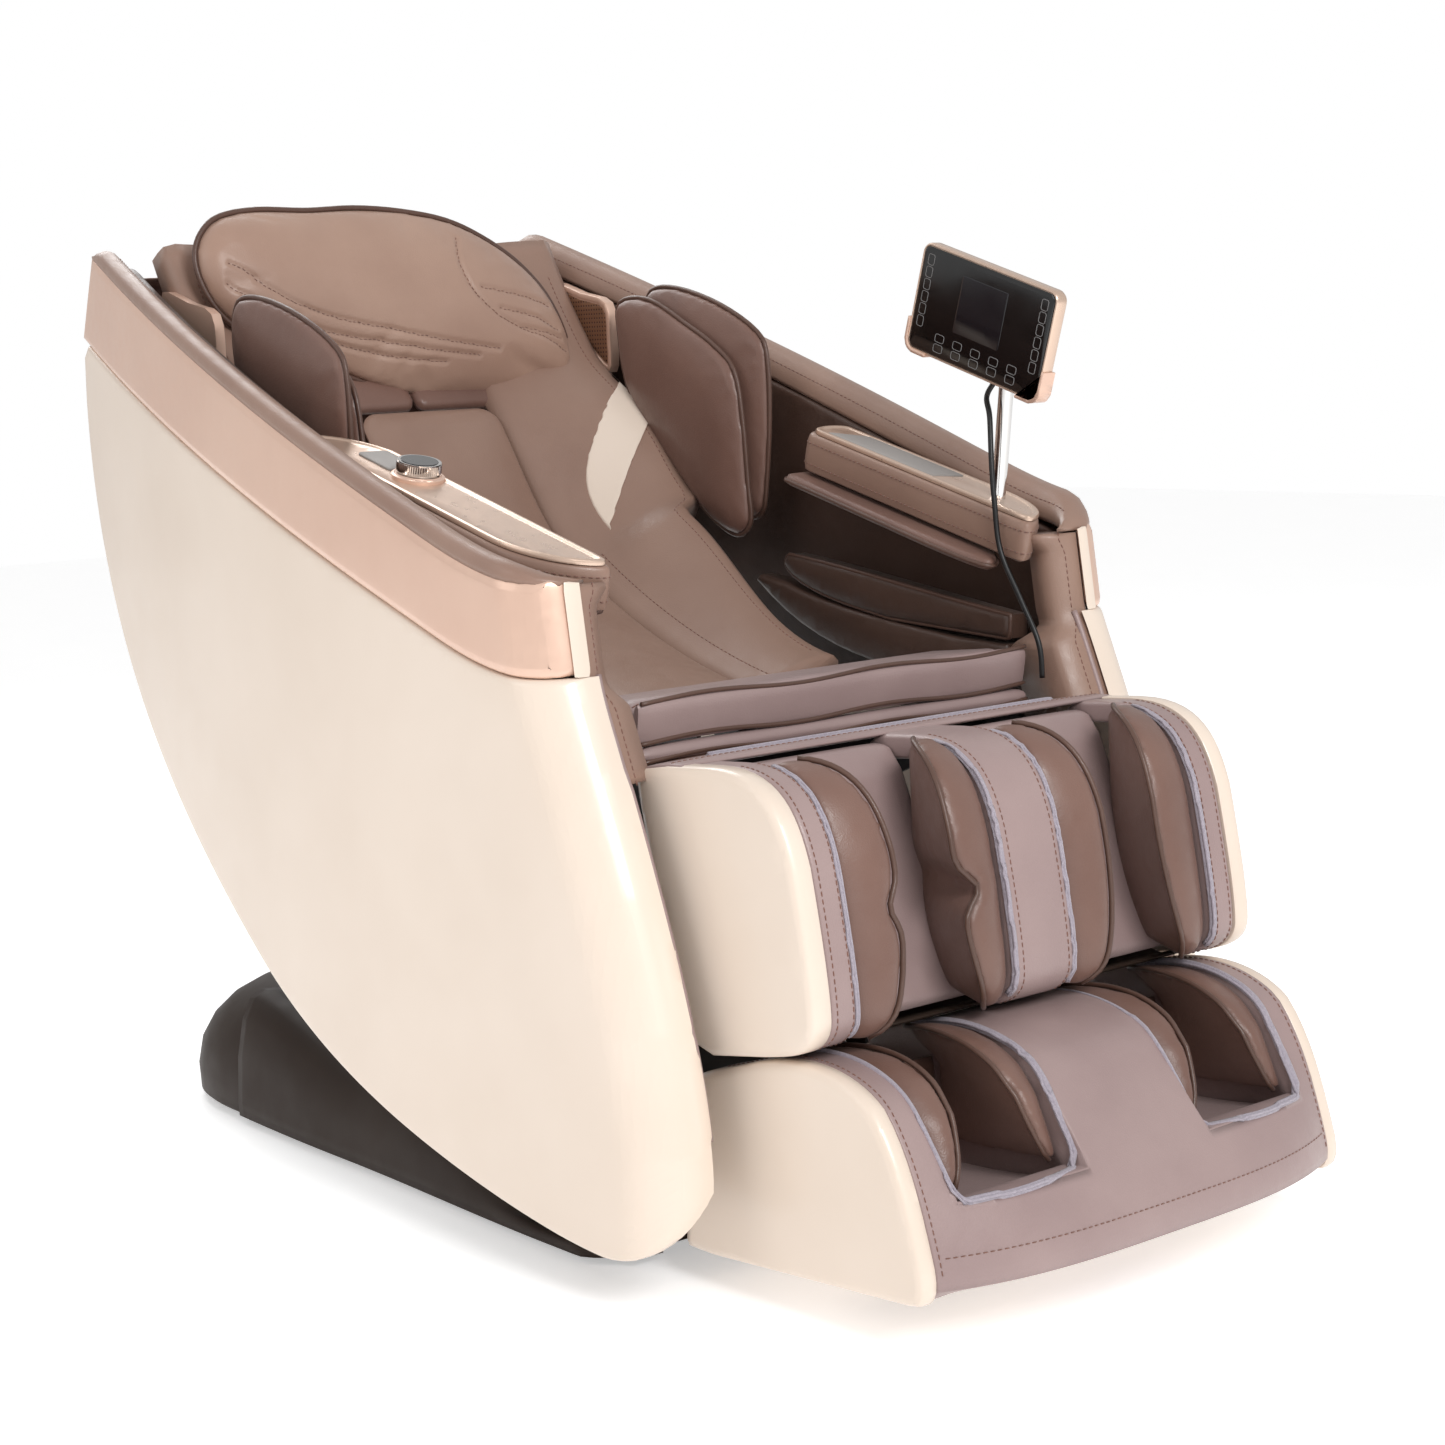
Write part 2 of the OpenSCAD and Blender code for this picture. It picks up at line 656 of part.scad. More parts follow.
// ---------- massage mechanism ----------
mech_angle = -50;
arm_r = 975;
roll_r = 958;
roll_z = 42;
roll_x = 60;
module massage_carriage() {
  color(steel) at_arc(mech_angle) {
    translate([-158, 1000, -40]) cube([316, 8, 80]);
    both() {
      for (z = [-30, 30]) rod_x(sqrt(track_r * track_r - z * z), z, 8.9, 157, 174);
      translate([152, 984, -40]) cube([6, 20, 80]);
      translate([112, 965, -12]) cube([6, 40, 24]);
    }
    rod_x(arm_r, 0, 8, -117, 117);
    translate([-34, 986, -30]) cube([68, 22, 60]);
  }
}
module kneading_arm() {
  at_arc(mech_angle) difference() {
    union() {
      across(92, 100) polygon([[964, -10], [948, -44], [960, -54], [970, -44], [986, 0],
                               [970, 44], [960, 54], [948, 44], [964, 10]]);
      rod_x(arm_r, 0, 13, 90, 102);
      for (z = [-roll_z, roll_z]) rod_x(roll_r, z, 6, roll_x - 3, 93);
    }
    rod_x(arm_r, 0, 8 + run_gap, 80, 110);
  }
}
module kneading_arm_left() { color(dark) kneading_arm(); }
module kneading_arm_right() { color(dark) mirror([1, 0, 0]) kneading_arm(); }
module roller(side, z) {
  color(grey) at_arc(mech_angle) scale([side, 1, 1]) difference() {
    rod_x(roll_r, z, 25, roll_x, roll_x + 26);
    rod_x(roll_r, z, 6 + run_gap, roll_x - 1, roll_x + 27);
  }
}
module roller_upper_left() { roller(1, roll_z); }
module roller_lower_left() { roller(1, -roll_z); }
module roller_upper_right() { roller(-1, roll_z); }
module roller_lower_right() { roller(-1, -roll_z); }

// ---------- calf rest ----------
// Side outline of the calf rest's front, top to bottom
function calf_front(d) = concat(
  [[-500, 492 - d]],
  bez([-560, 496 - d], [-640 + d, 500 - d], [-660 + d, 460], [-674 + d, 416], 8),
  bez([-674 + d, 416], [-690 + d, 340], [-697 + d, 290], [-694 + d, 276], 5),
  bez([-694 + d, 276], [-688 + d, 252 + d], [-660, 247 + d], [-621, 240 + d], 5));
module calf_frame() {
  color(steel) {
    rod_x(calf_y, calf_z, 9, -232, 232);
    both() across(226, 232) polygon([[-446, 472], [-446, 452], [-545, 250], [-565, 250], [-565, 300], [-466, 472]]);
    both() difference() {
      on_foot_axis() cylinder(h = 44, r = tube_r + 8, $fn = 48);
      on_foot_axis() translate([0, 0, -1]) cylinder(h = 46, r = tube_r + run_gap, $fn = 48);
    }
    both() difference() {
      translate([140, -546, 252]) cube([92, 10, 14]);
      on_foot_axis() cylinder(h = 44, r = tube_r + 7, $fn = 48);
    }
    difference() {
      translate([-145, -552, 248]) cube([290, 12, 20]);
      both() on_foot_axis() translate([0, 0, -2]) cylinder(h = 60, r = tube_r + 7.5, $fn = 48);
    }
    for (x = [-13, 8]) across(x, x + 5)
      polygon([[-446, 470], [-420, 414], [-420, 396], [-436, 396], [-446, 410], [-464, 462]]);
    rod_x(leg_pin_y, leg_z + 3, 5, -13, 13);
  }
}
module calf_shell() {
  color(cream) both() across(268, calf_half_w)
    polygon(concat(calf_front(0), [[-545, 226], [-520, 300], [-466, 474]]));
}
module calf_pads() {
  color(taupe) {
    both() across(234, 267) polygon(concat(calf_front(2), [[-590, 238], [-566, 300], [-478, 488]]));
    across(-40, 40) polygon(concat(calf_front(0), [[-606, 240], [-590, 300], [-545, 488]]));
    both() across(41, 233) polygon([[-545, 480], [-566, 486], [-640, 250], [-606, 244]]);
  }
}
module calf_air_cells() {
  color(taupe) both() for (x = [46, 206]) across(x, x + 24)
    polygon(concat([[-570, 478]], bez([-600, 484], [-660, 480], [-672, 420], [-684, 350], 6),
      bez([-684, 350], [-690, 300], [-690, 262], [-660, 256], 5), [[-646, 256]]));
}

// ---------- footrest ----------
foot_tilt = 13.4;
// Moves children onto the footrest's slide axis, +Z up the tube
module on_foot_axis() {
  translate([150, -558, 240]) rotate([-foot_tilt, 0, 0]) children();
}
function foot_top(d) = concat(
  [[-520, 206 - d], [-560, 218 - d]],
  bez([-600, 231 - d], [-660, 248 - d], [-720, 240 - d], [-752, 214 - d], 8),
  bez([-752, 214 - d], [-782, 180 - d], [-796, 130], [-806, 96], 6),
  bez([-806, 96], [-815, 70], [-812, 52], [-796, 50], 4));
foot_roll = [-680, 84];
module foot_shell() {
  color(cream) {
    both() across(262, foot_half_w)
      polygon(concat(foot_top(0), [[-500, 30], [-486, 36], [-496, 120]]));
    both() difference() {
      union() {
        on_foot_axis() translate([0, 0, -197]) cylinder(h = 397, r = tube_r, $fn = 48);
        across(146, 154) polygon([[-597, 48], [-575, 150], [-522, 150], [-508, 45]]);
      }
      on_foot_axis() translate([0, 0, -180]) cylinder(h = 390, r = tube_r - 3, $fn = 48);
    }
    difference() {
      across(-263, 263) polygon([[-500, 34], [-790, 52], [-790, 62], [-500, 46]]);
      translate([-200, -700, 0]) cube([400, 40, 100]);
    }
    across(-263, 263) polygon([[-500, 44], [-510, 44], [-537, 196], [-525, 196]]);
    both() difference() {
      across(212, 222) polygon([[-700, 50], [-660, 48], [-666, 100], [-694, 100]]);
      rod_x(foot_roll[0], foot_roll[1], 6 + run_gap, 211, 223);
    }
  }
}
module foot_cover() {
  color(taupe) {
    both() across(232, 261) polygon(concat(foot_top(1), [[-790, 64], [-600, 60], [-600, 200]]));
    difference() {
      across(-78, 78) polygon(concat(foot_top(3), [[-790, 64], [-600, 60], [-600, 200]]));
      rod_x(foot_roll[0], foot_roll[1], 9, -79, 79);
    }
    across(-233, 233) polygon(concat(
      [[-786, 128]], bez([-800, 134], [-818, 130], [-832, 96], [-848, 62], 5),
      [[-848, 50], [-792, 50], [-792, 64], [-780, 64]]));
    both() across(77, 233) polygon([[-622, 200], [-612, 200], [-622, 62], [-632, 62]]);
  }
}
module foot_air_cells() {
  color(taupe) both() for (x = [82, 208]) across(x, x + 21)
    polygon(concat([[-634, 205]], bez([-636, 222], [-690, 232], [-724, 215], [-770, 130], 8),
      [[-775, 122], [-638, 110]]));
}
module foot_rollers() {
  color(grey) {
    rod_x(foot_roll[0], foot_roll[1], 6, -225, 225);
    both() for (x = [108, 134, 160, 186]) rod_x(foot_roll[0], foot_roll[1], 19, x, x + 16);
  }
}

centred() base_cover();
centred() base_skirt();
centred() base_frame();
centred() base_feet();
centred() power_inlet();
centred() power_switch();
centred() transport_wheels();
centred() slide_carriage();
centred() tilt_actuator();
centred() tilt_rod();
centred() main_frame();
centred() side_shell_left();
centred() side_shell_right();
centred() gold_band_left();
centred() gold_band_right();
centred() rim_pad_left();
centred() rim_pad_right();
centred() side_lining_left();
centred() side_lining_right();
centred() armrest_left();
centred() armrest_right();
centred() arm_plate_left();
centred() arm_plate_right();
centred() charging_pad();
centred() touch_keypad();
centred() arm_air_cells();
centred() back_pad();
centred() back_wings();
centred() seat_cushion();
centred() seat_flaps();
centred() back_cover();
centred() track_rails();
centred() shoulder_air_cells();
centred() speakers();
centred() air_pump();
centred() control_box();
centred() leg_actuator();
centred() leg_rod();
centred() knob_ring();
centred() knob_button();
centred() tablet_post();
centred() tablet_cradle();
centred() tablet();
centred() tablet_cable();
centred() massage_carriage();
centred() kneading_arm_left();
centred() kneading_arm_right();
centred() roller_upper_left();
centred() roller_upper_right();
centred() roller_lower_left();
centred() roller_lower_right();
centred() head_pillow();
centred() calf_frame();
centred() calf_shell();
centred() calf_pads();
centred() calf_air_cells();
centred() foot_shell();
centred() foot_cover();
centred() foot_air_cells();
centred() foot_rollers();
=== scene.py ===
"""Looks of the massage chair: shells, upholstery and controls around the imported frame."""
import math
import bmesh
import bpy
import numpy as np
from mathutils import Matrix, Vector
from mathutils.bvhtree import BVHTree
from mathutils.kdtree import KDTree


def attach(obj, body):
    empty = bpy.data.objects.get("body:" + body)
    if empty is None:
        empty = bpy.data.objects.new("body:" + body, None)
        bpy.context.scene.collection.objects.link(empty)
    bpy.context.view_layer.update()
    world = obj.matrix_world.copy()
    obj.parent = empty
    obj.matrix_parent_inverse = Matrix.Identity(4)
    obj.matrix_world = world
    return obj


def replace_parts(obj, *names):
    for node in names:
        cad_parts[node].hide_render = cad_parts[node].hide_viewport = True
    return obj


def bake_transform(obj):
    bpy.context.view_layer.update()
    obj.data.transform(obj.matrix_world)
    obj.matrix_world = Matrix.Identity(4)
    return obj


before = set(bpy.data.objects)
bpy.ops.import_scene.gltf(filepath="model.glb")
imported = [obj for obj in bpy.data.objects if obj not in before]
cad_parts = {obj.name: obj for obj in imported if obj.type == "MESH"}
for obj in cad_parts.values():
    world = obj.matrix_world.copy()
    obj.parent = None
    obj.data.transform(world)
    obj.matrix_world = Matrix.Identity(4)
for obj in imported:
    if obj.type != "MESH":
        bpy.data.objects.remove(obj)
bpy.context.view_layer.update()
scene = bpy.context.scene

# Everything is drawn in millimetres about the middle of the four feet
MM = 0.001
CENTRE_Y = 133.5


def at(x, y, z):
    """Design millimetres to the scene's metres."""
    return (x * MM, (y + CENTRE_Y) * MM, z * MM)


# ---------- curves ----------
def bez(a, b, c, d, n):
    """Cubic curve from a to d in n points; d itself is left to the next stretch."""
    out = []
    for i in range(n):
        t = i / n
        s = 1 - t
        out.append(tuple(p * s ** 3 + 3 * q * s * s * t + 3 * r * s * t * t + w * t ** 3
                         for p, q, r, w in zip(a, b, c, d)))
    return out


def line(a, b, n):
    """Straight stretch from a to b in n points, without b."""
    return [tuple(p + (q - p) * i / n for p, q in zip(a, b)) for i in range(n)]


def smooth_path(points, n, closed=False):
    """Catmull-Rom curve through the points, n steps to a span."""
    pts = [np.array(p, float) for p in points]
    m = len(pts)
    out = []
    for i in range(m if closed else m - 1):
        if closed:
            p = [pts[(i + k) % m] for k in (-1, 0, 1, 2)]
        else:
            p = [pts[max(i - 1, 0)], pts[i], pts[i + 1], pts[min(i + 2, m - 1)]]
        for j in range(n):
            t = j / n
            out.append(0.5 * (2 * p[1] + (p[2] - p[0]) * t + (2 * p[0] - 5 * p[1] + 4 * p[2] - p[3]) * t * t
                              + (3 * p[1] - p[0] - 3 * p[2] + p[3]) * t ** 3))
    if not closed:
        out.append(pts[-1])
    return [tuple(q) for q in out]


def resample(path, step, closed=False):
    """Evenly spaced points along a path, about a step apart."""
    pts = np.array(list(path) + ([path[0]] if closed else []), float)
    seg = np.linalg.norm(np.diff(pts, axis=0), axis=1)
    along = np.concatenate([[0], np.cumsum(seg)])
    count = max(2, int(along[-1] / step))
    marks = np.linspace(0, along[-1], count + 1)
    if closed:
        marks = marks[:-1]
    return [tuple(np.interp(m, along, pts[:, k]) for k in range(pts.shape[1])) for m in marks]


def ease(t):
    """Smooth step from 0 to 1."""
    t = min(max(t, 0.0), 1.0)
    return t * t * (3 - 2 * t)


def turns(n):
    """n evenly spaced angles round a circle."""
    return [2 * math.pi * k / n for k in range(n)]


def round_rect(x0, y0, x1, y1, r, n=6):
    """Outline of a rectangle with rounded corners, counterclockwise."""
    out = []
    corners = ((x1 - r, y1 - r, 0), (x0 + r, y1 - r, 90), (x0 + r, y0 + r, 180), (x1 - r, y0 + r, 270))
    for cx, cy, a in corners:
        for k in range(n + 1):
            w = math.radians(a + 90 * k / n)
            out.append((cx + r * math.cos(w), cy + r * math.sin(w)))
    return out


def tree_of(points):
    """Search tree over points."""
    tree = KDTree(len(points))
    for i, p in enumerate(points):
        tree.insert(Vector(p), i)
    tree.balance()
    return tree


# ---------- side profile, as (y, z) ----------
BAND_LOW_FRONT, BAND_LOW_BEND, BAND_LOW_REAR = (-446, 574), (-250, 616), (578, 903)
BAND_TOP_FRONT, BAND_TOP_BEND, BAND_TOP_REAR = (-434, 661), (-225, 719), (512, 997)
SHELL_TIP, SHELL_HEEL, SHELL_BELLY, SHELL_REAR = (-583, 150), (-500, 50), (120, 240), (584, 830)
HALF_W = 390
# The shells' front corners in plan: a tight radius, then a gentle draw-in over a longer stretch
CORNER_R = 56
CORNER_LEN = 154
CORNER_IN = 10
# The shells narrow towards the rear from here on
TAPER_Y, TAPER_LEN, TAPER_IN = -185, 600, 55


def band_low(n):
    """The gold band's lower edge, from the front to the rear."""
    return (bez(BAND_LOW_FRONT, (-380, 572), (-330, 588), BAND_LOW_BEND, n)
            + line(BAND_LOW_BEND, BAND_LOW_REAR, n) + [BAND_LOW_REAR])


def band_top(n):
    """The gold band's upper edge, from the front to the rear."""
    return (bez(BAND_TOP_FRONT, (-370, 664), (-310, 687), BAND_TOP_BEND, n)
            + line(BAND_TOP_BEND, BAND_TOP_REAR, n) + [BAND_TOP_REAR])


# The shells' and bands' front edge, from the tip up
EDGE_Z = (150, 259, 379, 491, 574, 661)
EDGE_Y = (-583, -563, -523.5, -480, -446, -434)
SHELL_FRONT = bez(BAND_LOW_FRONT, (-478, 490), (-575, 280), SHELL_TIP, 40)


def front_edge_y(z):
    """Where the shells and bands end in front at height z."""
    return float(np.interp(z, EDGE_Z, EDGE_Y))


def plan_x(y, z):
    """Half width of the shells' outer face at a point of the side profile."""
    behind = max(0.0, y - front_edge_y(z))
    near = max(0.0, CORNER_R - 1 - behind)
    far = max(0.0, CORNER_LEN - behind)
    drop = CORNER_R - math.sqrt(CORNER_R ** 2 - near ** 2) + CORNER_IN * (far / CORNER_LEN) ** 2
    return HALF_W - TAPER_IN * (max(y - TAPER_Y, 0) / TAPER_LEN) ** 2 - drop


# ---------- materials ----------
def lin(r, g, b):
    """Linear colour from an sRGB one given as 0-255."""
    share = [v / 255 for v in (r, g, b)]
    return tuple(v / 12.92 if v <= 0.04 else ((v + 0.055) / 1.055) ** 2.4 for v in share) + (1,)


class Surface:
    """A node material under construction: object coordinates in, one Principled shader out."""

    def __init__(self, name, rough, metal=0.0, coat=0.0, sheen=0.0):
        self.mat = bpy.data.materials.new(name)
        self.mat.use_nodes = True
        self.tree = self.mat.node_tree
        self.bsdf = self.tree.nodes["Principled BSDF"]
        self.bsdf.inputs["Roughness"].default_value = rough
        self.bsdf.inputs["Metallic"].default_value = metal
        self.bsdf.inputs["Coat Weight"].default_value = coat
        self.bsdf.inputs["Coat Roughness"].default_value = 0.12
        self.bsdf.inputs["Sheen Weight"].default_value = sheen
        self.coord = self.tree.nodes.new("ShaderNodeTexCoord").outputs["Object"]
        self.normal = None

    def texture(self, kind, scale, **values):
        node = self.tree.nodes.new(kind)
        node.inputs["Scale"].default_value = scale
        for key, value in values.items():
            node.inputs[key].default_value = value
        self.tree.links.new(self.coord, node.inputs["Vector"])
        return node

    def noise(self, scale, detail=3.0, rough=0.5):
        return self.texture("ShaderNodeTexNoise", scale, Detail=detail, Roughness=rough).outputs["Fac"]

    def cells(self, scale):
        return self.texture("ShaderNodeTexVoronoi", scale).outputs["Distance"]

    def remap(self, value, low, high, to_low, to_high):
        node = self.tree.nodes.new("ShaderNodeMapRange")
        node.inputs["From Min"].default_value = low
        node.inputs["From Max"].default_value = high
        node.inputs["To Min"].default_value = to_low
        node.inputs["To Max"].default_value = to_high
        self.tree.links.new(value, node.inputs["Value"])
        return node.outputs["Result"]

    def color(self, value, low, high):
        """Base colour from low to high as value goes from 0.3 to 0.7."""
        ramp = self.tree.nodes.new("ShaderNodeValToRGB")
        ramp.color_ramp.elements[0].position = 0.3
        ramp.color_ramp.elements[1].position = 0.7
        ramp.color_ramp.elements[0].color = lin(*low)
        ramp.color_ramp.elements[1].color = lin(*high)
        self.tree.links.new(value, ramp.inputs["Fac"])
        self.tree.links.new(ramp.outputs["Color"], self.bsdf.inputs["Base Color"])

    def rough(self, value, low, high):
        self.tree.links.new(self.remap(value, 0.3, 0.7, low, high), self.bsdf.inputs["Roughness"])

    def bump(self, value, strength, distance):
        node = self.tree.nodes.new("ShaderNodeBump")
        node.inputs["Strength"].default_value = strength
        node.inputs["Distance"].default_value = distance
        self.tree.links.new(value, node.inputs["Height"])
        if self.normal:
            self.tree.links.new(self.normal, node.inputs["Normal"])
        self.normal = node.outputs["Normal"]
        self.tree.links.new(self.normal, self.bsdf.inputs["Normal"])


def leather(name, low, high, rough=0.38):
    """Grained leather: broad creases, pebble grain, fine pores."""
    s = Surface(name, rough, sheen=0.05)
    s.color(s.noise(7, 4), low, high)
    s.rough(s.noise(60, 5), rough - 0.06, rough + 0.08)
    s.bump(s.noise(34, 4, 0.55), 0.22, 0.0022)
    s.bump(s.cells(640), 0.35, 0.00035)
    s.bump(s.noise(1500, 2), 0.2, 0.0001)
    return s.mat


def plastic(name, low, high, rough, coat=0.0, grain=420, depth=0.00006, shine=0.5):
    """Moulded plastic: faint colour drift, fine grain, `shine` as its specular level."""
    s = Surface(name, rough, coat=coat)
    s.bsdf.inputs["Specular IOR Level"].default_value = shine
    s.color(s.noise(5, 3), low, high)
    s.rough(s.noise(30, 4), rough - 0.03, rough + 0.05)
    s.bump(s.noise(grain, 3), 0.15, depth)
    return s.mat


def metal(name, low, high, rough, metallic=1.0, coat=0.0, grain=900):
    """Polished or painted metal with a fine grain."""
    s = Surface(name, rough, metallic, coat)
    s.color(s.noise(6, 3), low, high)
    s.rough(s.noise(80, 5), rough - 0.04, rough + 0.06)
    s.bump(s.noise(grain, 2), 0.12, 0.00004)
    return s.mat


def perforated(name, color, hole):
    """Sheet metal with a regular grid of dark holes."""
    s = Surface(name, 0.42, 0.6)
    dots = s.texture("ShaderNodeTexVoronoi", 190, Randomness=0.0).outputs["Distance"]
    s.color(s.remap(dots, 0.26, 0.34, 0.3, 0.7), hole, color)
    s.bump(s.remap(dots, 0.26, 0.34, 0.0, 1.0), 0.6, 0.0006)
    return s.mat


def woven(name, low, high, rough=0.75):
    """Thread or zip tape, with a weave in its bump."""
    s = Surface(name, rough, sheen=0.3)
    s.color(s.noise(400, 2), low, high)
    wave = s.texture("ShaderNodeTexWave", 900, Distortion=1.0).outputs["Fac"]
    s.bump(wave, 0.5, 0.0004)
    return s.mat


MATS = {
    "cream": plastic("cream_gloss", (224, 207, 191), (230, 214, 199), 0.34, coat=0.3),
    "gold": metal("rose_gold_satin", (220, 184, 164), (227, 193, 173), 0.36, 0.45, coat=0.35),
    "gold_soft": metal("rose_gold_plate", (214, 186, 166), (222, 195, 176), 0.3, 0.7, coat=0.3),
    "taupe": leather("leather_taupe", (148, 126, 124), (161, 139, 136)),
    "tan": leather("leather_tan", (140, 111, 97), (152, 123, 108)),
    "brown": leather("leather_brown", (108, 79, 69), (122, 92, 81)),
    # The lining look is the brown leather darkened with painted shade, for the shadowed inside of the seat
    "lining": leather("leather_lining_painted_shade", (66, 46, 37), (78, 56, 46), 0.42),
    "pillow": leather("leather_pillow", (160, 129, 113), (173, 142, 125)),
    "piping": leather("leather_piping", (80, 56, 46), (94, 68, 57)),
    "thread": woven("thread", (118, 78, 63), (136, 92, 76), 0.6),
    "zip": woven("zip_tape", (158, 149, 160), (176, 167, 177)),
    "casing": plastic("casing_dark", (44, 33, 27), (51, 40, 33), 0.5, grain=260, depth=0.00015, shine=0.16),
    "drive": plastic("drive_black", (24, 24, 25), (34, 34, 35), 0.5, grain=500, depth=0.0002),
    "frame": metal("frame_steel", (66, 66, 68), (80, 80, 82), 0.48, 0.6),
    "shaft": metal("shaft_steel", (165, 165, 168), (190, 190, 192), 0.22),
    "chrome": metal("chrome", (214, 212, 210), (228, 226, 224), 0.09),
    "glass": plastic("black_glass", (7, 7, 8), (10, 10, 11), 0.07, coat=0.6, grain=60, depth=0.00001),
    "screen": plastic("screen", (20, 19, 24), (25, 24, 29), 0.12, coat=0.4, grain=60, depth=0.00001),
    "print": plastic("grey_print", (120, 118, 118), (138, 136, 136), 0.5),
    "pad": plastic("grey_pad", (146, 141, 138), (158, 153, 149), 0.55, grain=1400, depth=0.0002),
    "rubber": plastic("rubber", (70, 66, 64), (84, 80, 78), 0.7, grain=300, depth=0.0003),
    "feet": plastic("feet_rubber", (20, 20, 20), (28, 28, 28), 0.8, grain=300, depth=0.0003),
    "cable": plastic("cable", (8, 8, 9), (14, 14, 15), 0.4, grain=900, depth=0.0001),
    "mesh": perforated("speaker_bronze", (150, 112, 88), (60, 40, 30)),
    "switch": plastic("switch_red", (122, 31, 26), (140, 38, 30), 0.3, coat=0.3),
}
CAD_LOOKS = {
    "frame": ["base_frame", "slide_carriage", "main_frame", "track_rails", "massage_carriage", "calf_frame"],
    "shaft": ["tilt_rod", "leg_rod"],
    "drive": ["tilt_actuator", "leg_actuator", "air_pump", "control_box", "power_inlet",
              "kneading_arm_left", "kneading_arm_right"],
    "rubber": ["roller_upper_left", "roller_upper_right", "roller_lower_left", "roller_lower_right",
               "foot_rollers", "transport_wheels"],
    "feet": ["base_feet"],
    "chrome": ["knob_ring", "tablet_post"],
    "glass": ["knob_button"],
    "switch": ["power_switch"],
}
for look, names in CAD_LOOKS.items():
    for name in names:
        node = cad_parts[name]
        node.data.materials.clear()
        node.data.materials.append(MATS[look])


# ---------- mesh builders ----------
def tidy(mesh, sharp):
    """Normals out, smooth shading, edges over `sharp` degrees kept hard."""
    bm = bmesh.new()
    bm.from_mesh(mesh)
    bmesh.ops.recalc_face_normals(bm, faces=bm.faces)
    for face in bm.faces:
        face.smooth = True
    for edge in bm.edges:
        if len(edge.link_faces) == 2:
            edge.smooth = edge.calc_face_angle(0) < math.radians(sharp)
    bm.to_mesh(mesh)
    bm.free()


def place_mesh(name, mesh, mat, body, sharp):
    """Puts a mesh in the scene with its look, riding on a body when one is given."""
    tidy(mesh, sharp)
    mesh.materials.append(MATS[mat])
    obj = bpy.data.objects.new(name, mesh)
    scene.collection.objects.link(obj)
    if body:
        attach(obj, body)
    return obj


def piece(name, points, faces, mat, body, sharp=180):
    """Mesh from points in design millimetres."""
    mesh = bpy.data.meshes.new(name)
    mesh.from_pydata([at(*p) for p in points], [], faces)
    return place_mesh(name, mesh, mat, body, sharp)


def loft(name, rings, mat, body, closed=False, sharp=180):
    """Skin through rings of points; open ends close to their centre points."""
    n = len(rings[0])
    m = len(rings)
    points = [tuple(p) for ring in rings for p in ring]
    faces = []
    for j in range(m if closed else m - 1):
        a = j * n
        b = (j + 1) % m * n
        for i in range(n):
            k = (i + 1) % n
            faces.append((a + i, a + k, b + k, b + i))
    if not closed:
        for base in (0, (m - 1) * n):
            middle = np.mean(points[base:base + n], axis=0)
            points.append(tuple(middle))
            faces += [(base + i, base + (i + 1) % n, len(points) - 1) for i in range(n)]
    return piece(name, points, faces, mat, body, sharp)


def frames_along(path, closed=False):
    """Tangent and two cross directions at each point, turned as little as possible."""
    pts = np.array(path, float)
    tan = np.roll(pts, -1, 0) - np.roll(pts, 1, 0)
    if not closed:
        tan[0] = pts[1] - pts[0]
        tan[-1] = pts[-1] - pts[-2]
    tan /= np.maximum(np.linalg.norm(tan, axis=1), 1e-9)[:, None]
    start = np.array([1.0, 0, 0]) if abs(tan[0][0]) < 0.8 else np.array([0, 0, 1.0])
    out = []
    for t in tan:
        start = start - t * (start @ t)
        start = start / np.linalg.norm(start)
        out.append((t, start, np.cross(t, start)))
    return out


def tube(name, path, r, mat, body, sides=10, closed=False):
    """Round bar of radius r along a path."""
    rings = []
    for p, (_, a, b) in zip(path, frames_along(path, closed)):
        rings.append([tuple(np.array(p) + r * (a * math.cos(w) + b * math.sin(w))) for w in turns(sides)])
    return loft(name, rings, mat, body, closed)


def skin_of(obj):
    """Nearest point and normal on an object's final surface, in drawing millimetres."""
    tree = BVHTree.FromObject(obj, bpy.context.evaluated_depsgraph_get())

    def nearest(p):
        spot, normal, _, _ = tree.find_nearest(Vector(at(*p)))
        return np.array([spot.x / MM, spot.y / MM - CENTRE_Y, spot.z / MM]), np.array(normal)
    return nearest


# A thread's cross sections: (place along it, share of its width), and each section's corners (across, out)
THREAD_STEPS = ((-0.5, 0.55), (-0.25, 1), (0.25, 1), (0.5, 0.55))
THREAD_CORNERS = ((-0.5, -0.4), (0, 1.0), (0.5, -0.4))


def stitches(name, paths, obj, body, pitch=7.0, length=4.8, width=1.9):
    """Short threads on an object's surface, along one or more paths."""
    near = skin_of(obj)
    points = []
    faces = []
    for path in paths:
        spots = [near(p) for p in resample(path, pitch)]
        for (p, n), (t, _, _) in zip(spots, frames_along([s[0] for s in spots])):
            side = np.cross(t, n)
            base = len(points)
            for end, w in THREAD_STEPS:
                for a, h in THREAD_CORNERS:
                    points.append(tuple(p + t * end * length + side * a * width * w + n * h * w))
            for j in range(3):
                a = base + 3 * j
                for i in range(3):
                    k = (i + 1) % 3
                    faces.append((a + i, a + k, a + 3 + k, a + 3 + i))
            faces += [(base, base + 1, base + 2), (base + 9, base + 11, base + 10)]
    return piece(name, points, faces, "thread", body)


# A zip's tape and coil
TAPE_HALF, TAPE_LIFT, TAPE_THICK, TAPE_BEVEL = 3.8, 1.2, 2.4, 0.86
COIL_R, COIL_LIFT = 1.5, 0.6


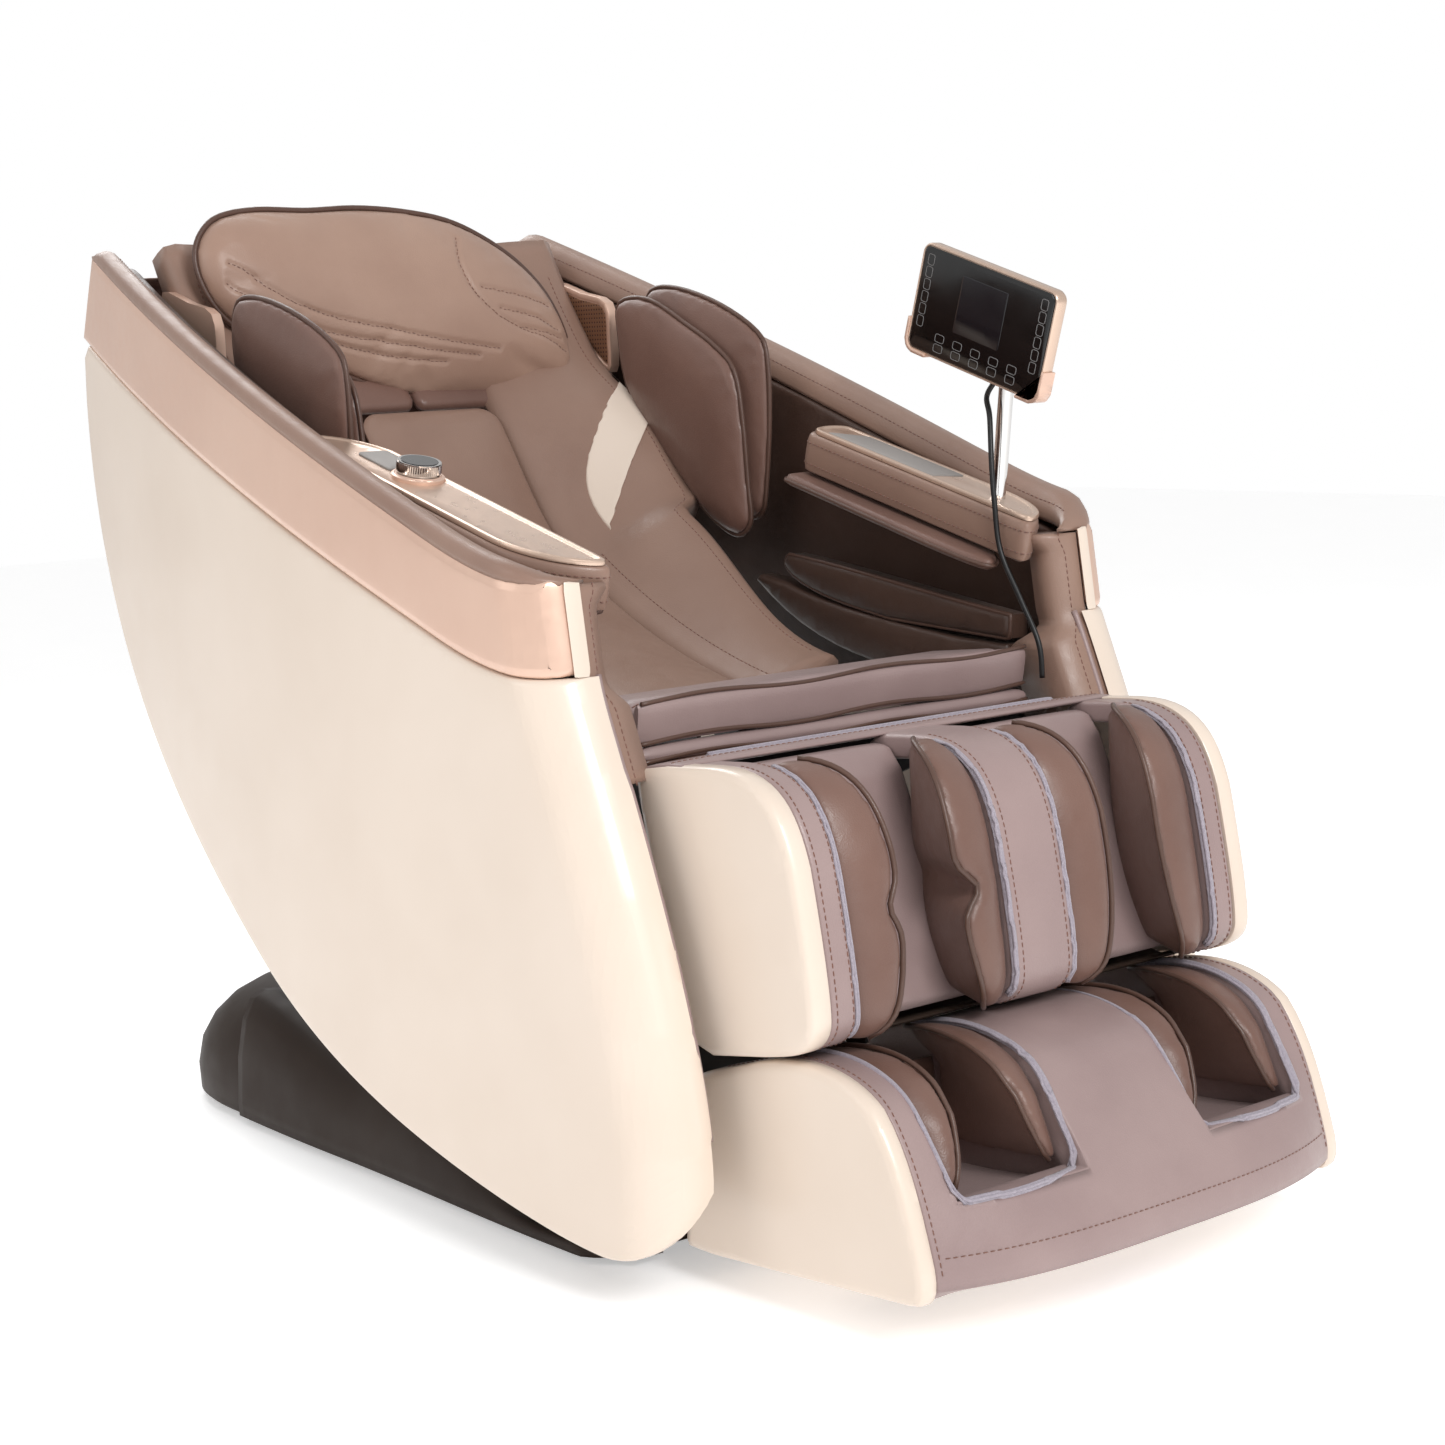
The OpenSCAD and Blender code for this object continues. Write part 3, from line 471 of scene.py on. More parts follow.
def zipper(name, path, obj, body):
    """Woven tape that lies on an object, with a raised coil down its middle."""
    near = skin_of(obj)
    spots = [near(p) for p in resample(path, 6)]
    rings = []
    for (p, n), (t, _, _) in zip(spots, frames_along([s[0] for s in spots])):
        side = np.cross(t, n)
        side = side / max(np.linalg.norm(side), 1e-9) * TAPE_HALF
        low = p + n * (TAPE_LIFT - TAPE_THICK)
        high = p + n * TAPE_LIFT
        rings.append([tuple(low - side), tuple(high - side * TAPE_BEVEL), tuple(high + side * TAPE_BEVEL),
                      tuple(low + side)])
    tape = loft(name + "_tape", rings, "zip", body)
    near = skin_of(tape)
    middle = [tuple(near(p)[0] + near(p)[1] * COIL_LIFT) for p in resample(path, 6)]
    tube(name + "_coil", middle, COIL_R, "zip", body, 8)


def bake(obj):
    """Replaces an object's mesh by its evaluated one, with no modifiers left."""
    graph = bpy.context.evaluated_depsgraph_get()
    mesh = bpy.data.meshes.new_from_object(obj.evaluated_get(graph))
    obj.modifiers.clear()
    obj.data = mesh
    return obj


def coords(obj):
    """Vertex coordinates of an object as an array."""
    co = np.empty(len(obj.data.vertices) * 3, np.float32)
    obj.data.vertices.foreach_get("co", co)
    return co.reshape(-1, 3).astype(float)


def set_coords(obj, co):
    """Writes an array back as an object's vertex coordinates."""
    obj.data.vertices.foreach_set("co", co.astype(np.float32).ravel())
    obj.data.update()


def groove(obj, paths, depth, half_w):
    """Presses a sewn channel into a finished mesh along each path."""
    tree = tree_of([at(*p) for path in paths for p in resample(path, 1.5)])
    co = coords(obj)
    normals = np.empty(len(co) * 3, np.float32)
    obj.data.vertices.foreach_get("normal", normals)
    normals = normals.reshape(-1, 3)
    reach = half_w * MM
    for i, p in enumerate(co):
        d = tree.find(Vector(p))[2]
        if d < reach:
            co[i] = p - normals[i] * depth * MM * (1 - (d / reach) ** 2) ** 2
    set_coords(obj, co)


# ---------- cloth ----------
soft_jobs = []


def inflate_later(obj, pins, voxel, pressure, cap):
    """Notes a closed soft piece for the cloth run; points near `pins` stay where they are."""
    soft_jobs.append((obj, pins, voxel, pressure, cap))


def laplacian(obj, rounds):
    """Evens a mesh out by moving each vertex towards its neighbours."""
    bm = bmesh.new()
    bm.from_mesh(obj.data)
    for _ in range(rounds):
        bmesh.ops.smooth_vert(bm, verts=bm.verts, factor=0.5,
                              use_axis_x=True, use_axis_y=True, use_axis_z=True)
    bm.to_mesh(obj.data)
    bm.free()


def remesh_piece(obj, pins, voxel):
    """Voxel remesh of a soft piece, with the points near its seams in a pin group."""
    remesh = obj.modifiers.new("remesh", "REMESH")
    remesh.mode = "VOXEL"
    remesh.voxel_size = voxel * MM
    bake(obj)
    laplacian(obj, 2)
    tree = tree_of([at(*p) for p in pins])
    held = [i for i, p in enumerate(coords(obj)) if tree.find(Vector(p))[2] < voxel * 1.3 * MM]
    obj.vertex_groups.new(name="pin").add(held, 1.0, "REPLACE")


def add_cloth(obj, pressure):
    """Cloth that an inner pressure swells."""
    cloth = obj.modifiers.new("cloth", "CLOTH")
    cloth.settings.quality = 5
    cloth.settings.mass = 0.35
    cloth.settings.tension_stiffness = 12
    cloth.settings.compression_stiffness = 12
    cloth.settings.bending_stiffness = 0.6
    cloth.settings.use_pressure = True
    cloth.settings.uniform_pressure_force = pressure
    cloth.settings.effector_weights.gravity = 0
    cloth.settings.vertex_group_mass = "pin"
    cloth.collision_settings.use_collision = False


def swollen(obj, rest, cap, graph):
    """The points of a piece after the cloth run, none further than `cap` mm from where it began."""
    moved = np.empty(len(rest) * 3, np.float32)
    result = obj.evaluated_get(graph).to_mesh()
    result.vertices.foreach_get("co", moved)
    step = moved.reshape(-1, 3) - rest
    size = np.linalg.norm(step, axis=1)
    return rest + step * (np.minimum(size, cap * MM) / np.maximum(size, 1e-9))[:, None]


def smooth_piece(obj, look):
    """Finishes a piece that came out of the cloth step."""
    obj.vertex_groups.clear()
    laplacian(obj, 1)
    if not obj.data.materials:
        obj.data.materials.append(look)
    tidy(obj.data, 180)
    modifier = obj.modifiers.new("smooth", "SUBSURF")
    modifier.levels = modifier.render_levels = 1
    bake(obj)
    tidy(obj.data, 180)


def run_cloth():
    looks = [job[0].data.materials[0] for job in soft_jobs]
    rests = []
    for obj, pins, voxel, pressure, _ in soft_jobs:
        remesh_piece(obj, pins, voxel)
        rests.append(coords(obj))
        add_cloth(obj, pressure)
    for step in range(1, 21):
        scene.frame_set(step)
    graph = bpy.context.evaluated_depsgraph_get()
    swelled = [swollen(obj, rest, cap, graph) for (obj, _, _, _, cap), rest in zip(soft_jobs, rests)]
    for (obj, _, _, _, _), points in zip(soft_jobs, swelled):
        obj.modifiers.clear()
        set_coords(obj, points)
    scene.frame_set(1)
    for (obj, _, _, _, _), look in zip(soft_jobs, looks):
        smooth_piece(obj, look)
    bpy.context.view_layer.update()


# ---------- plates and straps ----------
def inset_ring(outline, inset):
    """The outline moved inwards by `inset`, with its corners mitred."""
    p = np.array(outline, float)
    before = p - np.roll(p, 1, 0)
    after = np.roll(p, -1, 0) - p
    area = 0.5 * np.sum(p[:, 0] * np.roll(p[:, 1], -1) - np.roll(p[:, 0], -1) * p[:, 1])
    turn = 1 if area > 0 else -1
    n1 = np.stack([-before[:, 1], before[:, 0]], 1) * turn
    n2 = np.stack([-after[:, 1], after[:, 0]], 1) * turn
    n1 /= np.maximum(np.linalg.norm(n1, axis=1), 1e-9)[:, None]
    n2 /= np.maximum(np.linalg.norm(n2, axis=1), 1e-9)[:, None]
    mid = n1 + n2
    mid /= np.maximum(np.sum(mid * mid, 1), 0.5)[:, None]
    return p + 2 * mid * inset


def cut(bm, geom, spot, normal):
    """Adds edges where a plane crosses the given part of a mesh."""
    bmesh.ops.bisect_plane(bm, geom=geom, dist=1e-4, plane_co=spot, plane_no=normal)


def cut_all(bm, spot, normal):
    """Adds edges where a plane crosses the whole mesh."""
    cut(bm, bm.verts[:] + bm.edges[:] + bm.faces[:], spot, normal)


def cut_front(bm, behind):
    """Adds edges a fixed distance behind the front edge, one stretch of height at a time."""
    for k in range(len(EDGE_Z) - 1):
        z0, z1 = EDGE_Z[k:k + 2]
        y0, y1 = EDGE_Y[k] + behind, EDGE_Y[k + 1] + behind
        faces = [f for f in bm.faces if all(z0 - 1e-3 <= v.co.y <= z1 + 1e-3 for v in f.verts)
                 and any(v.co.x < max(y0, y1) + 30 for v in f.verts)]
        geom = set(faces)
        for f in faces:
            geom.update(f.edges)
            geom.update(f.verts)
        if faces:
            cut(bm, list(geom), (y0, z0, 0), (z1 - z0, y0 - y1, 0))


# Edges of a plate over this angle stay hard
PLATE_SHARP = 45
# Where the shells and bands get extra edges, so that their rounded front corner stays smooth
FRONT_CUTS = (1.5, 3.5, 6, 9, 13, 18, 24, 31, 39, 48, 58, 75)


def plate(name, outline, profile, place, mat, body, step=20, crown=0, reach=60, side=1):
    """A closed plate: (inset, depth) rings run from the border of its face to that of its back."""
    n = len(outline)
    bm = bmesh.new()
    rings = []
    for inset, depth in profile:
        rings.append([bm.verts.new((u, v, depth)) for u, v in inset_ring(outline, inset)])
    for a, b in zip(rings, rings[1:]):
        for i in range(n):
            k = (i + 1) % n
            bm.faces.new((a[i], a[k], b[k], b[i]))
    caps = [bm.faces.new(rings[0]), bm.faces.new(rings[-1])]
    bmesh.ops.triangulate(bm, faces=caps)
    pts = np.array(outline, float)
    for axis, normal in enumerate(((1, 0, 0), (0, 1, 0))):
        low, high = pts[:, axis].min(), pts[:, axis].max()
        for mark in np.arange(low + step * 0.53, high, step):
            cut_all(bm, tuple(mark * c for c in normal), normal)
    if place is side_wall:
        for z in EDGE_Z:
            cut_all(bm, (0, z, 0), (0, 1, 0))
        for behind in FRONT_CUTS:
            cut_front(bm, behind)
    bmesh.ops.remove_doubles(bm, verts=bm.verts, dist=0.12)
    bmesh.ops.dissolve_degenerate(bm, edges=bm.edges, dist=0.05)
    face_inset, face_depth = profile[0]
    border = tree_of([(u, v, 0) for u, v in resample(inset_ring(outline, face_inset), 3, True)])
    for v in bm.verts:
        u, t, w = v.co
        if crown and abs(w - face_depth) < 1e-3:
            d = min(border.find(Vector((u, t, 0)))[2] / reach, 1)
            w -= crown * (1 - (1 - d) ** 2)
        x, y, z = place(u, t, w)
        v.co = at(side * x, y, z)
    mesh = bpy.data.meshes.new(name)
    bm.to_mesh(mesh)
    bm.free()
    return place_mesh(name, mesh, mat, body, PLATE_SHARP)


def path_normals(path):
    """Left-hand normals of a flat path."""
    p = np.array(path, float)
    t = np.gradient(p, axis=0)
    t /= np.maximum(np.linalg.norm(t, axis=1), 1e-9)[:, None]
    return np.stack([-t[:, 1], t[:, 0]], 1)


# A strap's point spacing, how square its section is, and how long its ends take to thicken
STRAP_STEP, STRAP_SQUARE, STRAP_ROUND_END = 8, 0.35, 12


def strap(name, path, x0, x1, thick, mat, body, flip=1, lift=0.0, side=1):
    """A padded band across x that follows a (y, z) path; its face is lifted off the path."""
    path = resample(path, STRAP_STEP)
    n = len(path)
    rings = []
    for i, (p, q) in enumerate(zip(path, path_normals(path) * flip)):
        run = min(i, n - 1 - i) * STRAP_STEP
        grow = min(1.0, 0.25 + 0.75 * math.sqrt(min(run / STRAP_ROUND_END, 1)))
        ring = []
        for w in turns(28):
            c, s = math.cos(w), math.sin(w)
            a = math.copysign(abs(c) ** STRAP_SQUARE, c)
            b = math.copysign(abs(s) ** STRAP_SQUARE, s)
            h = lift - thick / 2 + b * thick / 2 * grow
            ring.append((side * ((x0 + x1) / 2 + a * (x1 - x0) / 2), p[0] + q[0] * h, p[1] + q[1] * h))
        rings.append(ring)
    return loft(name, rings, mat, body)


def edge_of(outline, inset, depth, place, side=1):
    """A path round a plate at one inset and depth, in place."""
    out = []
    for u, v in resample(inset_ring(outline, inset), 6, True):
        x, y, z = place(u, v, depth)
        out.append((side * x, y, z))
    return out


def side_wall(u, v, w):
    """Lays a plate on the shells' outer face."""
    return (plan_x(u, v) - w, u, v)


def facing_out(x0):
    """Stands a plate up along the chair, its face away from the chair's middle."""
    return lambda u, v, w: (x0 - w, u, v)


def facing_in(x0):
    """Stands a plate up along the chair, its face towards the chair's middle."""
    return lambda u, v, w: (x0 + w, u, v)


# The armrests' sloping top
ARM_SLOPE = math.radians(15.4)
ARM_Z = 784


def on_arm(x, y, z):
    """A point given across, along and above the armrests' sloping top."""
    c, s = math.cos(ARM_SLOPE), math.sin(ARM_SLOPE)
    return (x, y * c - z * s, ARM_Z + y * s + z * c)


def arm_place(u, v, w):
    """Lays a plate on the armrests' sloping top."""
    return on_arm(u, v, -w)


# The tablet's post, and how far the head leans on it and the post leans back
POST_X, POST_Y, POST_LEN = 303, -342, 160
POST_Z = ARM_Z + POST_Y * math.tan(ARM_SLOPE)
HEAD_LEAN, POST_LEAN = math.radians(10), math.radians(8)


def on_head(x, y, z):
    """A point given from the tablet's tilt pin, as the head stands at rest."""
    a, b = HEAD_LEAN, POST_LEAN
    y, z = y * math.cos(a) - z * math.sin(a), y * math.sin(a) + z * math.cos(a) + POST_LEN
    y, z = y * math.cos(b) - z * math.sin(b), y * math.sin(b) + z * math.cos(b)
    return (POST_X + x, POST_Y + y, POST_Z + z)


# The back follows an arc; distances along it are measured at ARC_R
ARC_Y, ARC_Z, ARC_R = -338, 1392, 886


def back_radius(a):
    """Radius of the back's leather from the arc's centre; deeper towards the seat."""
    deg = math.degrees(a)
    return 872 + 44 * ease((-42 - deg) / 16)


def on_back(u, v, w):
    """Lays a plate on the backrest's curved front."""
    a = v / ARC_R
    r = back_radius(a) + w
    return (u, ARC_Y + r * math.cos(a), ARC_Z + r * math.sin(a))


def arc_s(deg):
    """Distance along the unrolled back of an angle about its centre."""
    return math.radians(deg) * ARC_R


def arc_bez(points, n):
    """Cubic curve on the unrolled back, through control points given as (x, y, z)."""
    return bez(*[(x, math.atan2(z - ARC_Z, y - ARC_Y) * ARC_R) for x, y, z in points], n)


# ---------- side shells, bands, rims and linings ----------
SIDES = ((1, "left"), (-1, "right"))
SHELL = (SHELL_FRONT
         + bez(SHELL_TIP, (-588, 90), (-572, 50), SHELL_HEEL, 14)
         + bez(SHELL_HEEL, (-330, 62), (-60, 120), SHELL_BELLY, 40)
         + bez(SHELL_BELLY, (330, 378), (588, 560), SHELL_REAR, 44)
         + line(SHELL_REAR, (577, 896), 5) + [p for p in reversed(band_low(40)) if -440 < p[0] < 568])
BEZEL = (line((-431.4, 661.5), (-434.2, 660), 2) + line((-434.2, 660), (-446, 575.5), 12)
         + line((-445.6, 574.5), (-443.4, 574.2), 2) + line((-443.0, 575), (-431.2, 660.5), 12))
BAND = ([(y, z + 0.8) for y, z in band_low(40) if y > -428]
        + [p for p in reversed(band_top(40)) if p[0] > -418]
        + bez((-424, 664), (-428, 663), (-430.5, 660), (-431, 652), 5)
        + line((-431, 652), (-440, 590), 6) + bez((-440, 590), (-442, 580), (-440, 575.5), (-430, 574.5), 6))
LINING = (bez((-396, 652), (-404, 620), (-414, 580), (-418, 540), 8)
          + [(-418, 540), (-414, 512), (-400, 484), (-360, 450), (-300, 434), (-220, 432), (-150, 440)]
          + bez((-50, 470), (180, 500), (420, 640), (480, 800), 16)
          + [(495, 840), (505, 880), (512, 925), (510, 965), (490, 982)]
          + line((470, 976), (-215, 718), 16) + bez((-235, 711), (-300, 686), (-350, 667), (-388, 656), 10))


def rim(name, side, rise, width):
    """The padded rim on a band: round over its width, thinning out at both ends."""
    top = resample([p for p in band_top(40) if p[0] > -430], 12)
    rings = []
    for i, (y, z) in enumerate(top):
        t = i / (len(top) - 1)
        h = max(rise * ease(t / 0.05) ** 0.5 * ease((1 - t) / 0.03) ** 0.5, 1.5)
        x = plan_x(y, z)
        rings.append([(side * (x - inward * width), y, z + (up if up < 0 else up * h))
                      for inward, up in RIM_SECTION])
    return loft(name, rings, "tan", "seat")


# The rim's section as (distance inwards, share of its rise)
RIM_SECTION = ((2, -3), (1.5, 0.2), (2.5, 0.55), (7, 0.85), (16, 1.0), (28, 0.98), (38, 0.8), (45, 0.45),
               (47.5, 0.05), (47, -3))
# Each side's rim: rise, share of the full width, and its thread's distance inwards and height
RIM = {"left": (30, 1.0, 43, 18), "right": (15, 0.62, 26, 9)}
for side, tag in SIDES:
    shell = plate("shell_" + tag, SHELL, [(6, 0), (3, 0.7), (1, 2.6), (0, 6), (0, 15), (1.5, 18)],
                  side_wall, "cream", "seat", 11, side=side)
    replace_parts(shell, "side_shell_" + tag)
    plate("bezel_" + tag, BEZEL, [(0.9, -1.4), (0.3, -1.0), (0, 1), (0, 6)],
          side_wall, "cream", "seat", 8, side=side)
    band = plate("band_" + tag, BAND, [(10, -1.4), (8.8, -1.3), (3, 0.6), (1, 2.4), (0.2, 5), (0.2, 17)],
                 side_wall, "gold", "seat", 11, side=side)
    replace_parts(band, "gold_band_" + tag)
    # The lining wears the brown leather darkened with painted shade
    lining = plate("lining_" + tag, LINING, [(3, 25), (0, 28), (0, 45), (1.5, 48.5), (5, 50)],
                   side_wall, "lining", "seat", 13, side=side)
    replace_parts(lining, "side_lining_" + tag)
    rise, width, thread_in, thread_up = RIM[tag]
    pad = rim("rim_" + tag, side, rise, width)
    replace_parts(pad, "rim_pad_" + tag)
    thread = [(side * (plan_x(y, z) - thread_in), y, z + thread_up)
              for y, z in band_top(20) if -410 < y < 500]
    stitches("rim_thread_" + tag, [thread], pad, "seat")
    trim = [(side * (plan_x(y, z) - 19), y + 7, z) for y, z in SHELL_FRONT]
    tube("shell_trim_" + tag, trim, 3.2, "taupe", "seat")

# ---------- armrests ----------
ARM_IN = 272
ARM_OUT = {"left": 336, "right": 352}
# Each arm's rear end and how much it tapers there
ARM_REAR = {"left": (-56, 0), "right": (36, 28)}
ARM_SECTION = [(7, 0.4), (2.5, 1.4), (0.6, 4), (-0.6, 10), (-1, 22), (-0.6, 36), (1, 43), (6, 46)]
ARM_PLATE_SECTION = [(9, -3.4), (7.5, -3.8), (6, -4.9), (3, -5.2), (0.8, -4.4), (0, -2.6), (0, 0)]


def arm_plan(tag, inset, back_off=0):
    """Outline of an armrest from above, drawn in by `inset`, its rear end pulled back a little."""
    rear, taper = ARM_REAR[tag]
    rear -= back_off + inset
    w0 = ARM_IN + inset
    w1 = ARM_OUT[tag] - inset
    front = inset - 430
    return (bez((w0, -395), (w0, -422 + inset), (w0, front), (w0 + 8, front), 6)
            + bez((w0 + 8, front), (w0 + 34, front + 4), (w1, -390), (w1, -330), 14)
            + line((w1, -330), (w1, rear - 22), 10)
            + bez((w1, rear - 20), (w1, rear), (w0 + taper * 0.7, rear - taper / 3),
                  (w0, rear - 24 - 2 * taper), 12)
            + line((w0, rear - 26 - 2 * taper), (w0, -395), 12))


for side, tag in SIDES:
    plan = arm_plan(tag, 0)
    box = plate("arm_" + tag, plan, ARM_SECTION, arm_place, "tan", "seat", 20, side=side)
    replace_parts(box, "armrest_" + tag)
    for row, depth in enumerate((11, 35)):
        stitches("arm_thread_%s_%d" % (tag, row), [edge_of(plan, -1, depth, arm_place, side)], box, "seat")
    cover = plate("arm_plate_" + tag, arm_plan(tag, 4, 2), ARM_PLATE_SECTION, arm_place, "gold_soft",
                  "seat", 20, side=side)
    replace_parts(cover, "arm_plate_" + tag)
PAD = [(283, -262), (286, -268), (322, -279), (326, -275), (326, -122), (323, -116), (286, -92), (283, -95)]
pad = plate("charging_pad_top", PAD, [(1.6, -4.6), (0.4, -4.2), (0, -3.4), (0, -2)], arm_place, "pad",
            "seat", 15)
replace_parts(pad, "charging_pad")
KEYPAD = round_rect(284, -116, 320, -52, 6)
keys = plate("keypad_top", KEYPAD, [(1.5, -5.6), (0.4, -5.2), (0, -4.4), (0, -3.5)], arm_place, "pad",
             "seat", 15, side=-1)
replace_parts(keys, "touch_keypad")

# The knob's base and its knurled grip
KNOB_X, KNOB_Y = -304, -142
KNURLS = 60


def knob_ring(radii, z):
    """Closed ring about the knob's axis, at height z above the armrest."""
    return [on_arm(KNOB_X + r * math.cos(w), KNOB_Y + r * math.sin(w), z)
            for r, w in zip(radii, turns(len(radii)))]


BASE_SECTION = [(19, 3.4), (27, 3.4), (27, 6.4), (25.5, 7.2), (24, 7.2), (23, 8.3), (19, 8.3)]
loft("knob_base", [knob_ring([r] * 48, z) for r, z in BASE_SECTION], "gold", "seat", closed=True, sharp=40)
knurl = [22.0, 22.7] * KNURLS
bore = [20] * 2 * KNURLS
grip = [knob_ring(knurl, 10.5), knob_ring(knurl, 19.5), knob_ring(bore, 19.5), knob_ring(bore, 10.5)]
loft("knob_knurl", grip, "chrome", "knob_ring", closed=True, sharp=20)


# ---------- leather jambs between the side openings and the shells' front edges ----------
def jamb_ring(z, side):
    """Section of a jamb at height z."""
    y = front_edge_y(z) + 1
    outer = plan_x(y, z) - 8
    inner = 298 - 18 * ease((564 - z) / 24) - 14 * ease((z - 634) / 18)
    rear = y + 44 + 40 * ease((560 - z) / 30)
    section = ((outer + 3, y + 6), (outer - 4, y + 2), ((outer + inner) / 2, y + 8), (inner + 4, y + 14),
               (inner, y + 22), (inner - 1, rear), (outer - 4, rear), (outer + 3, y + 26))
    return [(side * px, py, z) for px, py in section]


for side, tag in SIDES:
    rings = [jamb_ring(z, side) for z in np.arange(656, 474, -6.0)]
    jamb = loft("jamb_" + tag, rings, "tan", "seat")
    stitches("jamb_thread_" + tag, [[r[2] for r in rings]], jamb, "seat")

# ---------- air-cell flaps over and under the arms ----------
UPPER_FLAP = (bez((246, -300), (246, -410), (256, -418), (288, -380), 14)
              + smooth_path([(288, -380), (312, -300), (320, -180), (320, -70), (300, -64), (256, -66)], 4)
              + line((250, -72), (246, -300), 10))
LOWER_FLAP = (bez((-440, 562), (-300, 578), (-160, 606), (-20, 622), 14)
              + bez((-20, 622), (10, 605), (-60, 575), (-160, 562), 10) + line((-190, 556), (-440, 540), 8))
LOWER_ARM = (line((-446, 500), (-452, 530), 3) + line((-448, 534), (-300, 541), 6)
             + bez((-300, 541), (-160, 556), (-60, 568), (20, 600), 8) + [(34, 596)]
             + bez((40, 590), (-30, 536), (-100, 512), (-200, 500), 8) + line((-210, 498), (-440, 496), 8))
# The lower cells end behind the jambs
JAMB_REAR = -384
LOWER_FLAP = [p for p in LOWER_FLAP if p[0] > JAMB_REAR]
LOWER_ARM = [p for p in LOWER_ARM if p[0] > JAMB_REAR]
CELL_SECTION = [(5, 0), (1.5, 1.5), (0, 5), (0, 28), (3, 34)]
inner_wall = facing_in(276)
for side, tag in SIDES:
    plate("flap_upper_" + tag, UPPER_FLAP, [(5, 49), (1.5, 50.5), (0, 54), (0, 57), (1.5, 60), (5, 62)],
          arm_place, "brown", "seat", 16, side=side)
    border = edge_of(UPPER_FLAP, -0.5, 56, arm_place, side)
    tube("flap_upper_piping_" + tag, border, 2.6, "piping", "seat", closed=True)
    # The lower cells wear the brown leather darkened with painted shade
    for name, cell in (("flap_lower_", LOWER_FLAP), ("arm_lower_", LOWER_ARM)):
        low = plate(name + tag, cell, CELL_SECTION, inner_wall, "lining", "seat", 16, side=side, crown=5)
        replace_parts(low, "arm_air_cells")
    border = edge_of(LOWER_FLAP, 0, 4, inner_wall, side)
    tube("flap_lower_piping_" + tag, border, 2.4, "piping", "seat", closed=True)


# ---------- tablet ----------
def head_place(u, v, w):
    """Lays a plate on the tablet head's front."""
    return on_head(-44 + w, u, v)


def on_tablet(name, outline, profile, mat, step=30):
    """Plate that tilts with the tablet."""
    return plate(name, outline, profile, head_place, mat, "tablet_cradle", step)


# The tablet: its middle along the head, half length, lowest edge, height
TAB_MID, TAB_HALF, TAB_LOW, TAB_HIGH = 9, 103, -26, 92
TAB = round_rect(TAB_MID - TAB_HALF, TAB_LOW, TAB_MID + TAB_HALF, TAB_HIGH, 12)
CASE_SECTION = [(3.2, 1.4), (2.4, 0.2), (1, 0.4), (0, 2), (0, 13), (2, 16)]
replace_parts(on_tablet("tablet_case", TAB, CASE_SECTION, "gold_soft"), "tablet")
on_tablet("tablet_glass", inset_ring(TAB, 3.6), [(1.2, -0.3), (0, 0.2), (0, 4)], "glass")
SCREEN = round_rect(TAB_MID - 34, 10, TAB_MID + 36, 72, 2)
on_tablet("tablet_screen", SCREEN, [(0.4, -0.55), (0, -0.4), (0, 0.4)], "screen", 40)


def outline_key(name, y0, z0, y1, z1):
    """A thin printed rounded rectangle on the tablet's glass."""
    outer = round_rect(y0, z0, y1, z1, 2.6, 3)
    inner = inset_ring(outer, 0.55)
    rings = [[head_place(u, v, w) for u, v in ring]
             for ring, w in ((outer, -0.75), (inner, -0.75), (inner, -0.2), (outer, -0.2))]
    loft(name, rings, "print", "tablet_cradle", closed=True, sharp=30)


for col, y0 in enumerate((TAB_MID + 82, TAB_MID - 92)):
    for row in range(6):
        z0 = 78 - row * 13.4
        outline_key("tablet_key_%d_%d" % (col, row), y0, z0 - 9, y0 + 10, z0 + 3)
for col in range(5):
    y0 = TAB_MID - 66 + col * 28
    for row in range(2):
        outline_key("tablet_low_key_%d_%d" % (col, row), y0, -18 + row * 11, y0 + 14, -9 + row * 11)
CLIP = [(105.5, 8), (105.5, -16), (101, -25), (92, -28.8), (70, -28.8), (70, -24.5), (92, -24), (98.5, -20),
        (101.2, -12), (101.2, 8)]
for tag, edge in (("a", -1), ("b", 1)):
    clip = resample([(TAB_MID + edge * y, z) for y, z in CLIP], 4, True)
    on_tablet("tablet_clip_" + tag, clip, [(1, -2), (0, -1), (0, 16), (1, 17)], "gold")
back_plate = on_tablet("cradle_plate", round_rect(TAB_MID - 66, -30, TAB_MID + 66, 42, 8),
                       [(1, 17.2), (0, 18), (0, 20.5), (1, 21.5)], "gold", 40)
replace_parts(back_plate, "tablet_cradle")
tube("cradle_boss", [on_head(0, y, 0) for y in (-4.5, 0, 4.5)], 7.5, "gold", "tablet_cradle", 24)
tube("cradle_arm", [on_head(x, 0, 0) for x in (-23, -14, -5)], 4.2, "gold", "tablet_cradle", 16)
# The tablet's cable, from the post's head down to the seat
drop = smooth_path([on_head(-8, 0, -10), on_head(-10.5, 0, -28), on_head(-20, 0, -48), (276, -360, 780),
                    (267, -370, 730), (264, -376, 690), (263, -384, 640), (263, -412, 590), (264, -436, 545),
                    (264, -440, 508)], 6)
wire = tube("cable_drop", drop, 3.0, "cable", None)
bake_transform(wire)
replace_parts(wire, "tablet_cable")

# ---------- back ----------
CENTRE = round_rect(-96, arc_s(-84), 96, arc_s(-42.5), 26, 8)
panel = plate("back_centre", CENTRE, [(6, -4), (2, -2), (0, 0), (0, 2), (6, 5)], on_back, "tan", "seat", 24,
              crown=8)
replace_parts(panel, "back_pad")
NECK = round_rect(2, arc_s(-41.6), 150, arc_s(-29), 14, 6)
for side, tag in SIDES:
    plate("neck_pad_" + tag, NECK, [(6, 6), (2, 8), (0, 13), (0, 17), (6, 24)], on_back, "brown", "seat", 22,
          crown=6, side=side)

# The side wings: inner edge, outer edge at the shoulders
WING_IN, WING_OUT = 97, 272


